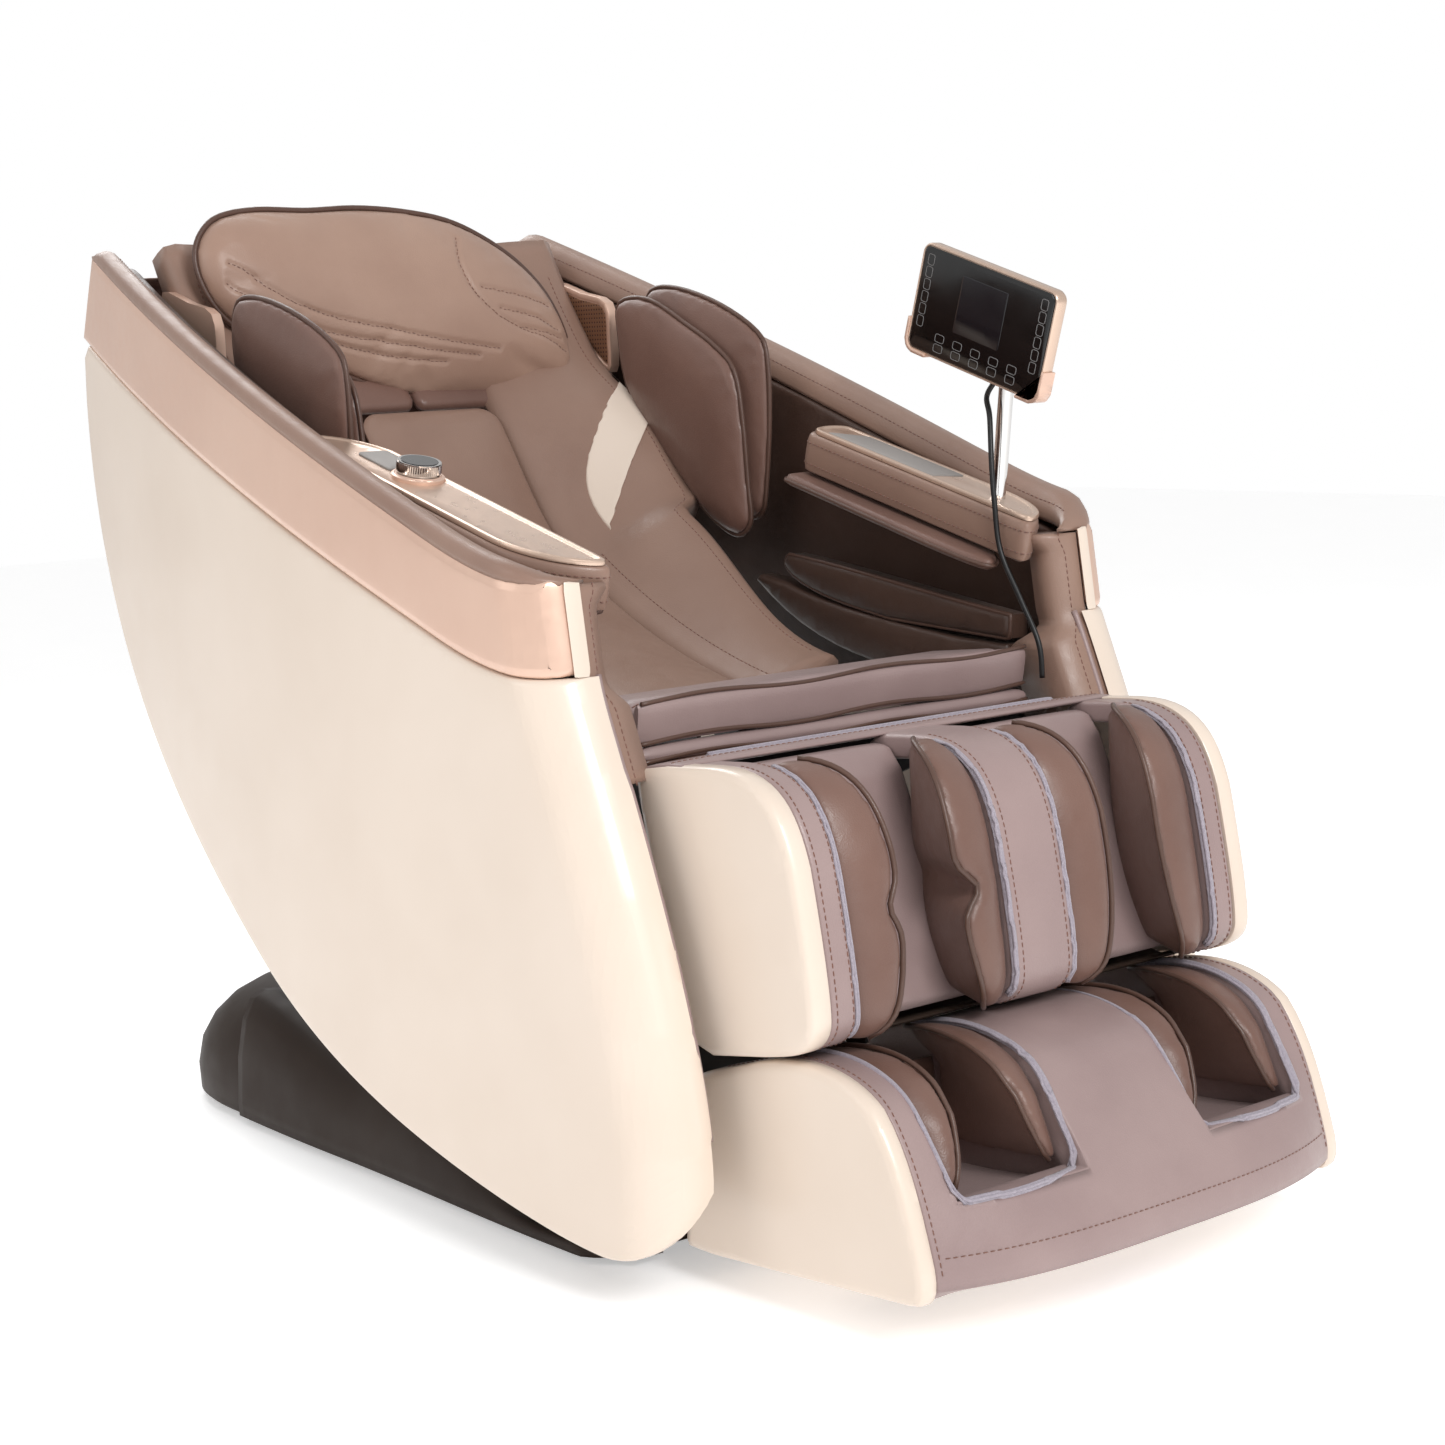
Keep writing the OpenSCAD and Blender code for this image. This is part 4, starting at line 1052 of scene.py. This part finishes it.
def wing_ring(deg, side):
    """Section of a wing at one angle of the back's arc: a rising front face, then the flat rear."""
    a = math.radians(deg)
    r = back_radius(a)
    rise = 30 + 50 * ease((-38 - deg) / 14) - 46 * ease((-60 - deg) / 20)
    out = WING_OUT - 42 * ease((-56.5 - deg) / 1.8) - 24 * ease((-59 - deg) / 18)
    ring = []
    for k in range(15):
        t = k / 14
        lift = rise * ease(t * 0.95) + 7 * math.sin(math.pi * min(t * 1.2, 1))
        lift -= 10 * max(1 - t / 0.06, 0)
        lift -= 8 * (max(t - 0.93, 0) / 0.07) ** 2
        ring.append((WING_IN + (out - WING_IN) * t, r - lift))
    ring += [(out + 1, r - rise + 22), (out, r + 10), (out - 14, r + 24), ((out + WING_IN) / 2, r + 26),
             (WING_IN + 4, r + 22)]
    return [(side * x, ARC_Y + q * math.cos(a), ARC_Z + q * math.sin(a)) for x, q in ring]


LEAF = (arc_bez([(272, 296, 834), (272, 262, 800), (272, 240, 780), (268, 230, 770)], 8)
        + arc_bez([(268, 230, 770), (230, 205, 735), (170, 170, 690), (128, 150, 662)], 12)
        + arc_bez([(128, 150, 662), (122, 180, 690), (132, 205, 712), (160, 228, 734)], 12)
        + arc_bez([(160, 228, 734), (195, 255, 762), (240, 280, 800), (272, 296, 834)], 12))


def lying_on(wing, side):
    """Places a plate on a wing's face; the search for the face starts well in front of it."""
    near = skin_of(wing)

    def place(u, v, w):
        x, y, z = on_back(u, v, -70)
        spot, _ = near((side * x, y, z))
        return (side * spot[0], spot[1] + w * math.cos(v / ARC_R), spot[2] + w * math.sin(v / ARC_R))
    return place


for side, tag in SIDES:
    wing = loft("wing_" + tag, [wing_ring(d, side) for d in np.arange(-80, -26.9, 1.1)], "tan", "seat")
    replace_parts(wing, "back_wings")
    seam = [on_back(side * 124, arc_s(d), -20) for d in np.arange(-79, -57, 1.0)]
    stitches("wing_thread_" + tag, [seam], wing, "seat")
    place = lying_on(wing, side)
    plate("leaf_" + tag, LEAF, [(2, -2.0), (0.4, -1.6), (0, 0), (0, 3)], place, "cream", "seat", 9, side=side)
    edge = [wing_ring(d, side)[12] for d in np.arange(-78, -30, 1.0)]
    stitches("wing_edge_thread_" + tag, [edge], wing, "seat")

# ---------- seat ----------
SEAT = (line((-252, 496), (-404, 500), 6) + bez((-405, 505), (-408, 530), (-404, 538), (-385, 538), 10)
        + line((-385, 538), (-300, 530), 5) + line((-300, 530), (-256, 514), 3))
SEAT_SECTION = [(14, 0), (5, 4), (0, 14), (0, 80), (0, 160), (0, 255), (0, 350), (0, 430), (0, 496), (5, 506),
                (14, 510)]
seat = plate("seat_pad", SEAT, SEAT_SECTION, facing_out(255), "taupe", "seat", 14)
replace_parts(seat, "seat_cushion")
FLAP_SECTION = [(4, 0), (2, 5), (0.4, 14), (0, 40), (0, 258), (0, 476), (0.4, 502), (2, 511), (4, 516)]
FLAP_TOP = [(-410, 502), (-411, 520), (-412, 534), (-417, 540), (-422, 541), (-426, 534), (-424, 518),
            (-420, 501), (-415, 499)]
FLAP_LOW = [(-410, 482), (-410, 490), (-411, 496), (-417, 497), (-422, 495), (-425.5, 489), (-423, 483),
            (-416, 481)]
for name, flap in (("seat_flap_upper", FLAP_TOP), ("seat_flap_lower", FLAP_LOW)):
    obj = plate(name, smooth_path(flap, 3, True), FLAP_SECTION, facing_out(258), "taupe", "seat", 8)
    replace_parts(obj, "seat_flaps")
for name, y, z in (("top", -424, 540), ("mid", -421, 501), ("low", -424, 484)):
    hem = [(x, y, z + 2.5 * math.sin(x / 37)) for x in range(-256, 257, 8)]
    tube("seat_flap_piping_" + name, hem, 2.3, "piping", "seat")
stitches("seat_flap_thread", [[(x, -404, 541) for x in range(-250, 251, 10)]], seat, "seat")

# ---------- head pillow ----------
PILLOW = smooth_path([
    (-268, 1015), (-240, 1034), (-185, 1042), (-111, 1041), (-40, 1044), (30, 1040), (97, 1029), (150, 1008),
    (197, 978), (232, 938), (250, 890), (252, 850), (238, 828), (196, 822), (120, 818), (40, 818), (-20, 826),
    (-83, 847), (-150, 872), (-215, 898), (-254, 920), (-276, 955), (-281, 988)], 4, True)
PILLOW_SEAMS = [
    smooth_path([(-255, 985), (-150, 925), (0, 893), (120, 872)], 8),
    smooth_path([(-262, 960), (-150, 902), (-10, 878), (90, 864)], 8),
    smooth_path([(-245, 938), (-140, 885), (-30, 862), (40, 856)], 8),
    smooth_path([(96, 1022), (84, 980), (96, 940), (140, 905), (205, 884), (246, 874)], 8),
    line((108, 948), (236, 930), 12), line((130, 922), (244, 902), 12), line((160, 898), (246, 886), 10)]


def pillow_place(u, v, w):
    """Leans back with the pillow's rear face; w runs from the face to the back."""
    lean = 40 * ease((v - 820) / 230)
    return (u * 0.93, 318 + lean + w - 10 * (abs(u) / 260) ** 2, v)


pillow = plate("pillow", PILLOW, [(22, -4), (12, 3), (4, 12), (0, 24), (4, 34), (14, 38)], pillow_place,
               "pillow", "pillow", 24, crown=10, reach=80)
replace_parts(pillow, "head_pillow")
rim_line = edge_of(PILLOW, -1, 24, pillow_place)
inflate_later(pillow, rim_line, 6.0, 4.0, 9.0)
tube("pillow_piping", rim_line, 3.4, "piping", "pillow", closed=True)
tube("pillow_hinge_roll", [(x, 392, 1034) for x in range(-48, 49, 12)], 8.5, "taupe", "pillow")

# ---------- rear cover and the black roll over it ----------
REAR = (bez((452, 520), (520, 610), (562, 740), (560, 860), 20)
        + smooth_path([(560, 860), (556, 900), (530, 962), (498, 974)], 4))
cover = strap("rear_cover", REAR, -262, 262, 8, "brown", "seat", flip=-1)
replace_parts(cover, "back_cover")
ROLL = [(-252, 446, 985), (-120, 450, 996), (0, 450, 1000), (120, 450, 996), (252, 446, 985)]
tube("back_top_roll", smooth_path(ROLL, 6), 9, "cable", "seat")

# ---------- shoulder petals and speakers ----------
PETAL_FRONT = smooth_path([
    (228, 935), (176, 936), (97, 914), (30, 880), (14, 848), (14, 777), (24, 700), (34, 668), (66, 664),
    (105, 690), (150, 738), (205, 800), (235, 850), (242, 900)], 4, True)
PETAL_REAR = smooth_path([
    (258, 922), (201, 924), (129, 892), (79, 866), (44, 836), (32, 778), (26, 700), (24, 660), (50, 644),
    (101, 668), (156, 718), (225, 788), (252, 830), (262, 886)], 4, True)
SPEAKER = smooth_path([
    (298, 838), (345, 869), (400, 912), (410, 952), (352, 938), (300, 924), (293, 880)], 3, True)
for side, tag in SIDES:
    for name, shape, x0 in (("petal_front_", PETAL_FRONT, 276), ("petal_rear_", PETAL_REAR, 250)):
        place = facing_in(x0)
        obj = plate(name + tag, shape, [(9, 0), (4, 2), (0, 8), (0, 12), (4, 17), (9, 19)], place, "brown",
                    "seat", 18, crown=6, reach=50, side=side)
        inflate_later(obj, edge_of(shape, 0, 11, place, side), 5.0, 3.0, 5.0)
        border = edge_of(shape, -0.5, 10, place, side)
        tube(name + "piping_" + tag, border, 2.8, "piping", "seat", closed=True)
        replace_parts(obj, "shoulder_air_cells")
for side, tag in SIDES:
    place = facing_in(268)
    obj = plate("speaker_" + tag, SPEAKER, [(7, 2.2), (6, 0.6), (3, 0), (0.8, 1), (0, 4), (0, 13)], place,
                "gold", "seat", 15, side=side)
    plate("speaker_mesh_" + tag, inset_ring(SPEAKER, 9), [(0.5, 1.4), (0, 1.8), (0, 3)], place, "mesh",
          "seat", 12, side=side)
    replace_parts(obj, "speakers")


# ---------- calf rest ----------
def wedge(path, x0, x1, xs, side, spine, dent=0.0):
    """Bellows cell: from a zip at x0 out to a piped edge at x1, and back to a spine behind."""
    path = resample(path, 9)
    n = len(path)
    rings = []
    for i, (y, z) in enumerate(path):
        swell = math.sin(math.pi * (i + 0.8) / (n + 0.6)) ** 0.35
        swell *= 1 - dent * math.exp(-((i / n - 0.57) / 0.055) ** 2)
        tip = x0 + (x1 - x0) * swell
        back = xs - tip
        section = ((x0, 0.10), (x0 + (tip - x0) * 0.35, 0.03), (x0 + (tip - x0) * 0.75, 0.0), (tip, 0.04),
                   (tip + back * 0.06, 0.10), (tip + back * 0.35, 0.5), (tip + back * 0.8, 0.92), (xs, 1.0),
                   (x0, 1.0), (x0, 0.5), (tip, 0.035))
        sy, sz = spine(y, z)
        rings.append([(side * x, y + (sy - y) * t, z + (sz - z) * t) for x, t in section])
    return [ring[:-1] for ring in rings], [ring[-1] for ring in rings]


def air_cell(name, tag, rings, seam, body, cap, piping):
    """One air cell: it swells in the cloth run, held at its piped edge and at its two roots."""
    obj = loft(name + tag, rings, "brown", body)
    inflate_later(obj, seam + [r[0] for r in rings] + [r[-3] for r in rings], 5.0, 4.0, cap)
    tube(name + "piping_" + tag, seam, piping, "piping", body)
    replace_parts(obj, body + "_air_cells")


def calf_front(d):
    """The calf rest's top and front from its rear edge down to its toe, d inside the covers."""
    return ([(-500, 492 - d)]
            + bez((-560, 496 - d), (-640 + d, 500 - d), (-660 + d, 460), (-674 + d, 416), 14)
            + bez((-674 + d, 416), (-690 + d, 340), (-697 + d, 290), (-694 + d, 276), 10)
            + bez((-694 + d, 276), (-688 + d, 252 + d), (-660, 247 + d), (-621, 240 + d), 10))


def calf_spine(y, z):
    """Where an air cell's rear edge meets the trough."""
    return (-566, 262 + (z - 240) * 0.86)


def at_x(x, path):
    """Puts a side profile at one x."""
    return [(x, y, z) for y, z in path]


# How deep two of the cells are pinched, as a share of their width
DENTS = {"calf_cell_inner_right": 0.42, "calf_cell_outer_right": 0.2}
CALF_SIDE = (calf_front(0) + line((-621, 240), (-532, 226), 5)
             + smooth_path([(-516, 238), (-502, 275), (-486, 340), (-468, 410), (-455, 474), (-462, 486)], 4))
CALF_TROUGH = [(-512, 488), (-534, 484), (-552, 462), (-585, 380), (-612, 310), (-634, 256)]
for side, tag in SIDES:
    obj = plate("calf_side_" + tag, CALF_SIDE, [(9, 0), (3, 1.2), (0.8, 4), (0, 9), (0, 21), (1, 22.5)],
                facing_out(291), "cream", "calf", 20, side=side)
    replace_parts(obj, "calf_shell")
    pad = strap("calf_band_" + tag, calf_front(1), 236, 267.5, 22, "taupe", "calf", flip=-1, side=side)
    threads = [at_x(side * x, calf_front(0)[2:-3]) for x in (242, 261)]
    stitches("calf_band_thread_" + tag, threads, pad, "calf")
    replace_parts(pad, "calf_pads")
    strap("calf_trough_" + tag, CALF_TROUGH, 41, 235, 14, "taupe", "calf", flip=-1, side=side)
    for name, x0, x1, xs in (("calf_cell_inner_", 42, 100, 46), ("calf_cell_outer_", 233, 172, 229)):
        rings, seam = wedge(calf_front(-3)[3:-5], x0, x1, xs, side, calf_spine, DENTS.get(name + tag, 0.0))
        air_cell(name, tag, rings, seam, "calf", 7.0, 2.8)
    zipper("calf_zip_" + tag, at_x(side * 234, calf_front(-1)[3:-6]), pad, "calf")
middle = strap("calf_middle", calf_front(0), -40, 40, 26, "taupe", "calf", flip=-1)
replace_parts(middle, "calf_pads")
for side, tag in SIDES:
    zipper("calf_middle_zip_" + tag, at_x(side * 42, calf_front(-1)[3:-6]), middle, "calf")
stitches("calf_middle_thread", [at_x(x, calf_front(0)[2:-3]) for x in (-30, 30)], middle, "calf")
strap("calf_underside", [(-548, 240), (-600, 232), (-640, 244)], -266, 266, 6, "casing", "calf")

# The flap over the calf rest's rear edge and the strip under it ride on no body and stay where they are built
CALF_TOP = [(-438, 478), (-452, 482), (-470, 487), (-494, 491), (-520, 493)]
top = strap("calf_top_flap", CALF_TOP, -287, 287, 7, "taupe", None, flip=-1, lift=3)
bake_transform(top)
stitches("calf_top_thread", [[(x, -500, 495) for x in range(-280, 281, 10)]], top, "calf")
zipper("calf_top_zip", [(x, -486, 496) for x in range(-228, 229, 8)], top, "calf")
tube("calf_top_piping", [(x, -438, 480) for x in range(-264, 265, 8)], 2.6, "piping", "seat")
BRIDGE = [(-414, 486), (-423, 480), (-434, 477), (-446, 481)]
bridge = strap("seat_bridge", BRIDGE, -256, 256, 5, "brown", None, flip=-1)
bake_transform(bridge)


# ---------- footrest ----------
def foot_top(d):
    """The footrest's top and front from its rear edge down to its toe, d under the covers."""
    return ([(-520, 206 - d), (-560, 218 - d)]
            + bez((-600, 231 - d), (-660, 248 - d), (-720, 240 - d), (-752, 214 - d), 14)
            + bez((-752, 214 - d), (-782, 180 - d), (-796, 130), (-806, 96), 8)
            + bez((-806, 96), (-815, 70), (-812, 52), (-796, 50), 6))


FOOT_RIDGE = foot_top(0)[:-2]
FOOT_SIDE = (foot_top(0) + line((-790, 50), (-500, 30), 12) + [(-490, 32), (-486, 40)]
             + line((-488, 60), (-516, 200), 8))
FOOT_CELL = FOOT_RIDGE[2:16] + [(-768, 196), (-784, 160), (-790, 138)]
SOLE = smooth_path([
    (-634, 106), (-700, 110), (-760, 117), (-788, 124), (-792, 116), (-760, 108), (-700, 101),
    (-636, 98)], 3, True)
SOLE_SECTION = [(3, 0), (1, 2), (0, 6), (0, 60), (0, 100), (1, 146), (3, 150)]
WELL_BACK = [(-622, 200), (-624, 150), (-630, 66)]
BEARING = [(-672, 60), (-680, 98), (-690, 60)]
SLIDE_TUBE = line((-512, 436), (-602, 46), 12)


def foot_spine(y, z):
    """Where a foot cell's rear edge meets the well."""
    return (-632, 116 + (z - 130) * 0.8)


for side, tag in SIDES:
    obj = plate("foot_side_" + tag, FOOT_SIDE, [(9, 0), (3, 1.2), (0.8, 4), (0, 9), (0, 17), (1, 18)],
                facing_out(280), "cream", "foot", 20, side=side)
    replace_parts(obj, "foot_shell")
    strap("foot_well_back_" + tag, WELL_BACK, 77, 234, 12, "brown", "foot", flip=-1, side=side)
    for name, x0, x1, xs in (("foot_cell_inner_", 80, 118, 84), ("foot_cell_outer_", 231, 190, 227)):
        rings, seam = wedge(FOOT_CELL, x0, x1, xs, side, foot_spine)
        air_cell(name, tag, rings, seam, "foot", 5.0, 2.6)
    plate("foot_sole_" + tag, SOLE, SOLE_SECTION, facing_out(231), "taupe", "foot", 12, side=side)
    tube("foot_slide_tube_" + tag, at_x(side * 150, SLIDE_TUBE), 10, "shaft", "foot", 20)
    strap("foot_bearing_" + tag, BEARING, 212, 222, 6, "drive", "foot", side=side)

# One sewn cover: ridges beside and between the wells, one low front face before them
LIP_Z = 134
RIDGE_STEPS = 46
COVER_HALF = 262
WELL_IN, WELL_OUT, WELL_EDGE = 76, 234, 5


def front_push(x, z):
    """How far the cover's front bulges ahead of the side profile."""
    return 38 * (1 - (min(abs(x), COVER_HALF) / COVER_HALF) ** 3.2) * ease((215 - z) / 130)


def cover_face():
    """The ridge's profile in even steps."""
    face = resample(FOOT_RIDGE, 4)
    return [face[int(round(i * (len(face) - 1) / (RIDGE_STEPS - 1)))] for i in range(RIDGE_STEPS)]


FACE = cover_face()
FACE_UPPER = max(i for i, p in enumerate(FACE) if p[1] > LIP_Z + 1) + 1
LIP_Y = min(p[0] for p in FACE if p[1] > LIP_Z - 8)
WELL_FACE = smooth_path([(-782, 104), (-783, 122), (-788, 132), (-796, LIP_Z + 1), (LIP_Y, LIP_Z - 2)], 12)


def cover_ring(x):
    """Closed (y, z) section of the cover at x; the wells cut it down to the front lip."""
    well = ease((abs(x) - WELL_IN) / WELL_EDGE) * ease((WELL_OUT - abs(x)) / WELL_EDGE)
    ring = []
    for i, (y, z) in enumerate(FACE):
        high = (y - front_push(x, z), z)
        low = high
        if i < FACE_UPPER:
            ly, lz = WELL_FACE[int(i / FACE_UPPER * (len(WELL_FACE) - 1))]
            low = (ly - front_push(x, lz) * ease((-786 - ly) / 14), lz)
        ring.append((x,) + tuple(p + (q - p) * well for p, q in zip(high, low)))
    _, y, z = ring[-1]
    ring.append((x, y + 6, z - 3))
    ring.append((x, -800, 54))
    ring.append((x, -610 - 172 * well, 60 + 6 * well))
    ring.append((x, -528 - 250 * well, ring[0][2] - 14))
    return ring


def drawn_in(ring):
    """The cover's ends turn in under its border."""
    return [(x, y * 0.985 - 10, z * 0.985 + 1.6) for x, y, z in ring]


xs = ([-262, -260, -256, -248, -240, -236, -234, -232.5, -231, -229] + list(range(-224, -84, 8))
      + [-81, -79.5, -78, -76.5, -75, -72, -64, -48, -32, -16])
xs = xs + [0] + [-x for x in reversed(xs)]
rings = [cover_ring(x) for x in xs]
cover = loft("foot_cover_front", [drawn_in(rings[0])] + rings + [drawn_in(rings[-1])], "taupe", "foot")
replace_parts(cover, "foot_cover")
FACE_TOP = slice(8, 30)
for side, tag in SIDES:
    stitches("foot_thread_" + tag, [cover_ring(side * 257)[2:44]], cover, "foot")
    well = ([(side * 229, y, z) for _, y, z in cover_ring(257)[FACE_TOP] if z > 140]
            + [(side * x, -806 - 12 * math.sin(math.pi * (x - 80) / 150), LIP_Z) for x in range(222, 84, -6)]
            + [(side * 81, y, z) for _, y, z in reversed(cover_ring(60)[FACE_TOP]) if z > 140])
    zipper("foot_zip_" + tag, smooth_path(well, 1), cover, "foot")
stitches("foot_hem_thread", [[cover_ring(x)[42] for x in range(-250, 251, 10)]], cover, "foot")
strap("foot_rear_wall", [(-505, 46), (-531, 194)], -263, 263, 10, "cream", "foot")
SIDE_FLOOR = [(-500, 40), (-640, 48), (-790, 57)]
for name, path, x0, x1 in (("", SIDE_FLOOR, -263, -226), ("_right", SIDE_FLOOR, 226, 263),
                           ("_rear", [(-500, 40), (-655, 49)], -227, 227),
                           ("_front", [(-705, 52), (-790, 57)], -227, 227)):
    strap("foot_floor" + name, path, x0, x1, 10, "cream", "foot")


# ---------- base: a rear dome that runs forward into two low side walls ----------
DOME_Y, DOME_REAR, DOME_HALF, DOME_POWER = 262, 540, 308, 0.62
DOME_SECTION = ((3, 9), (0, 12), (-1, 40), (4, 70), (16, 96), (34, 118), (56, 134), (84, 146), (120, 152))


def dome_ring(inset, z):
    """Half outline of the dome, drawn in by inset, at height z."""
    ring = []
    for k in range(64):
        w = math.pi * k / 63
        c, s = math.cos(w), math.sin(w)
        x = (DOME_HALF - inset) * math.copysign(abs(c) ** DOME_POWER, c)
        ring.append((x, DOME_Y + (DOME_REAR - inset * 1.35 - DOME_Y) * s ** DOME_POWER, z))
    return ring


def wall_ring(y, side):
    """Section of a side wall: the outer face, the rounded top and the hollow inner face."""
    half = 318 - 34 * ease((-380 - y) / 54)
    half += 10 * ease((60 - y) / 390) - 12 * (max(y - 60, 0) / 320) ** 2
    h = 152 - 50 * ease((300 - y) / 260) - 66 * ease((-40 - y) / 330)
    section = ((0, 9), (-0.5, 26), (3, h * 0.52), (12, h * 0.8), (24, h * 0.95), (40, h), (62, h - 3),
               (66, h - 12), (30, 40), (30, 9))
    return [(side * (half - inset), y, z) for inset, z in section]


dome = loft("base_dome", [dome_ring(inset, z) for inset, z in DOME_SECTION], "casing", "base", sharp=60)
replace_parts(dome, "base_cover")
for side, tag in SIDES:
    rings = [wall_ring(y, side) for y in np.arange(300, -433, -12.0)]
    wall = loft("base_wall_" + tag, rings, "casing", "base")
    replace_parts(wall, "base_skirt")
strap("base_floor", [(262, 12), (0, 12), (-430, 12)], -300, 300, 7, "casing", "base")

run_cloth()

# Sewn seams, pressed in after the cloth has settled
near = skin_of(pillow)
sunk = [[tuple(near(pillow_place(x, z, -20))[0]) for x, z in resample(path, 4)] for path in PILLOW_SEAMS]
groove(pillow, sunk, 2.6, 5)
stitches("pillow_thread", sunk, pillow, "pillow", 6, 4, 1.1)

# ---------- floor, light and camera ----------
FLOOR_HALF = 9
corners = [(-FLOOR_HALF, -FLOOR_HALF, 0), (FLOOR_HALF, -FLOOR_HALF, 0), (FLOOR_HALF, FLOOR_HALF, 0),
           (-FLOOR_HALF, FLOOR_HALF, 0)]
floor_mesh = bpy.data.meshes.new("floor")
floor_mesh.from_pydata(corners, [], [(0, 1, 2, 3)])
floor = bpy.data.objects.new("floor", floor_mesh)
scene.collection.objects.link(floor)
floor_look = plastic("floor_pale", (246, 246, 246), (249, 249, 249), 0.45)
floor_shader = floor_look.node_tree.nodes["Principled BSDF"]
floor_shader.inputs["Emission Color"].default_value = (1, 1, 1, 1)
floor_shader.inputs["Emission Strength"].default_value = 0.42
floor_mesh.materials.append(floor_look)

# The surroundings are white to the camera and softer as a light
world = bpy.data.worlds.new("studio")
world.use_nodes = True
world_tree = world.node_tree
background = world_tree.nodes["Background"]
background.inputs["Color"].default_value = (1.0, 1.0, 1.0, 1)
strength = world_tree.nodes.new("ShaderNodeMapRange")
strength.inputs["To Min"].default_value = 0.58
strength.inputs["To Max"].default_value = 1.0
ray = world_tree.nodes.new("ShaderNodeLightPath")
world_tree.links.new(ray.outputs["Is Camera Ray"], strength.inputs["Value"])
world_tree.links.new(strength.outputs["Result"], background.inputs["Strength"])
scene.world = world


def area_light(name, place, target, size, power):
    """Square lamp that looks at a target."""
    data = bpy.data.lights.new(name, "AREA")
    data.size = size
    data.energy = power
    lamp = bpy.data.objects.new(name, data)
    lamp.location = place
    lamp.rotation_euler = (Vector(target) - Vector(place)).to_track_quat("-Z", "Y").to_euler()
    scene.collection.objects.link(lamp)


area_light("key", (-0.9, -3.9, 3.0), (0, 0, 0.5), 1.6, 118)
area_light("fill", (-3.2, 0.4, 2.4), (0, 0, 0.5), 2.0, 14)
area_light("rear", (0.5, 2.6, 2.8), (0, 0, 0.7), 2.0, 45)

# The camera: its place in drawing millimetres, where it looks, its roll, its focal length in frame widths
EYE = (-1802.29, -2448.08, 877.2)
AZIMUTH, ELEVATION, ROLL = (math.radians(v) for v in (-39.08, 8.02, -2.28))
FOCAL = 2740.97 / 1445
SENSOR = 36
level = math.cos(ELEVATION)
back = Vector((math.sin(AZIMUTH) * level, -math.cos(AZIMUTH) * level, math.sin(ELEVATION)))
right = Vector((math.cos(AZIMUTH), math.sin(AZIMUTH), 0))
up = right.cross(-back)
across = math.cos(ROLL) * right + math.sin(ROLL) * up
above = -math.sin(ROLL) * right + math.cos(ROLL) * up
camera_data = bpy.data.cameras.new("camera")
camera_data.sensor_width = SENSOR
camera_data.lens = SENSOR * FOCAL
camera_data.clip_end = 50
camera = bpy.data.objects.new("camera", camera_data)
camera.matrix_world = Matrix.Translation(at(*EYE)) @ Matrix((across, above, back)).transposed().to_4x4()
scene.collection.objects.link(camera)
scene.camera = camera
scene.view_settings.view_transform = "Standard"
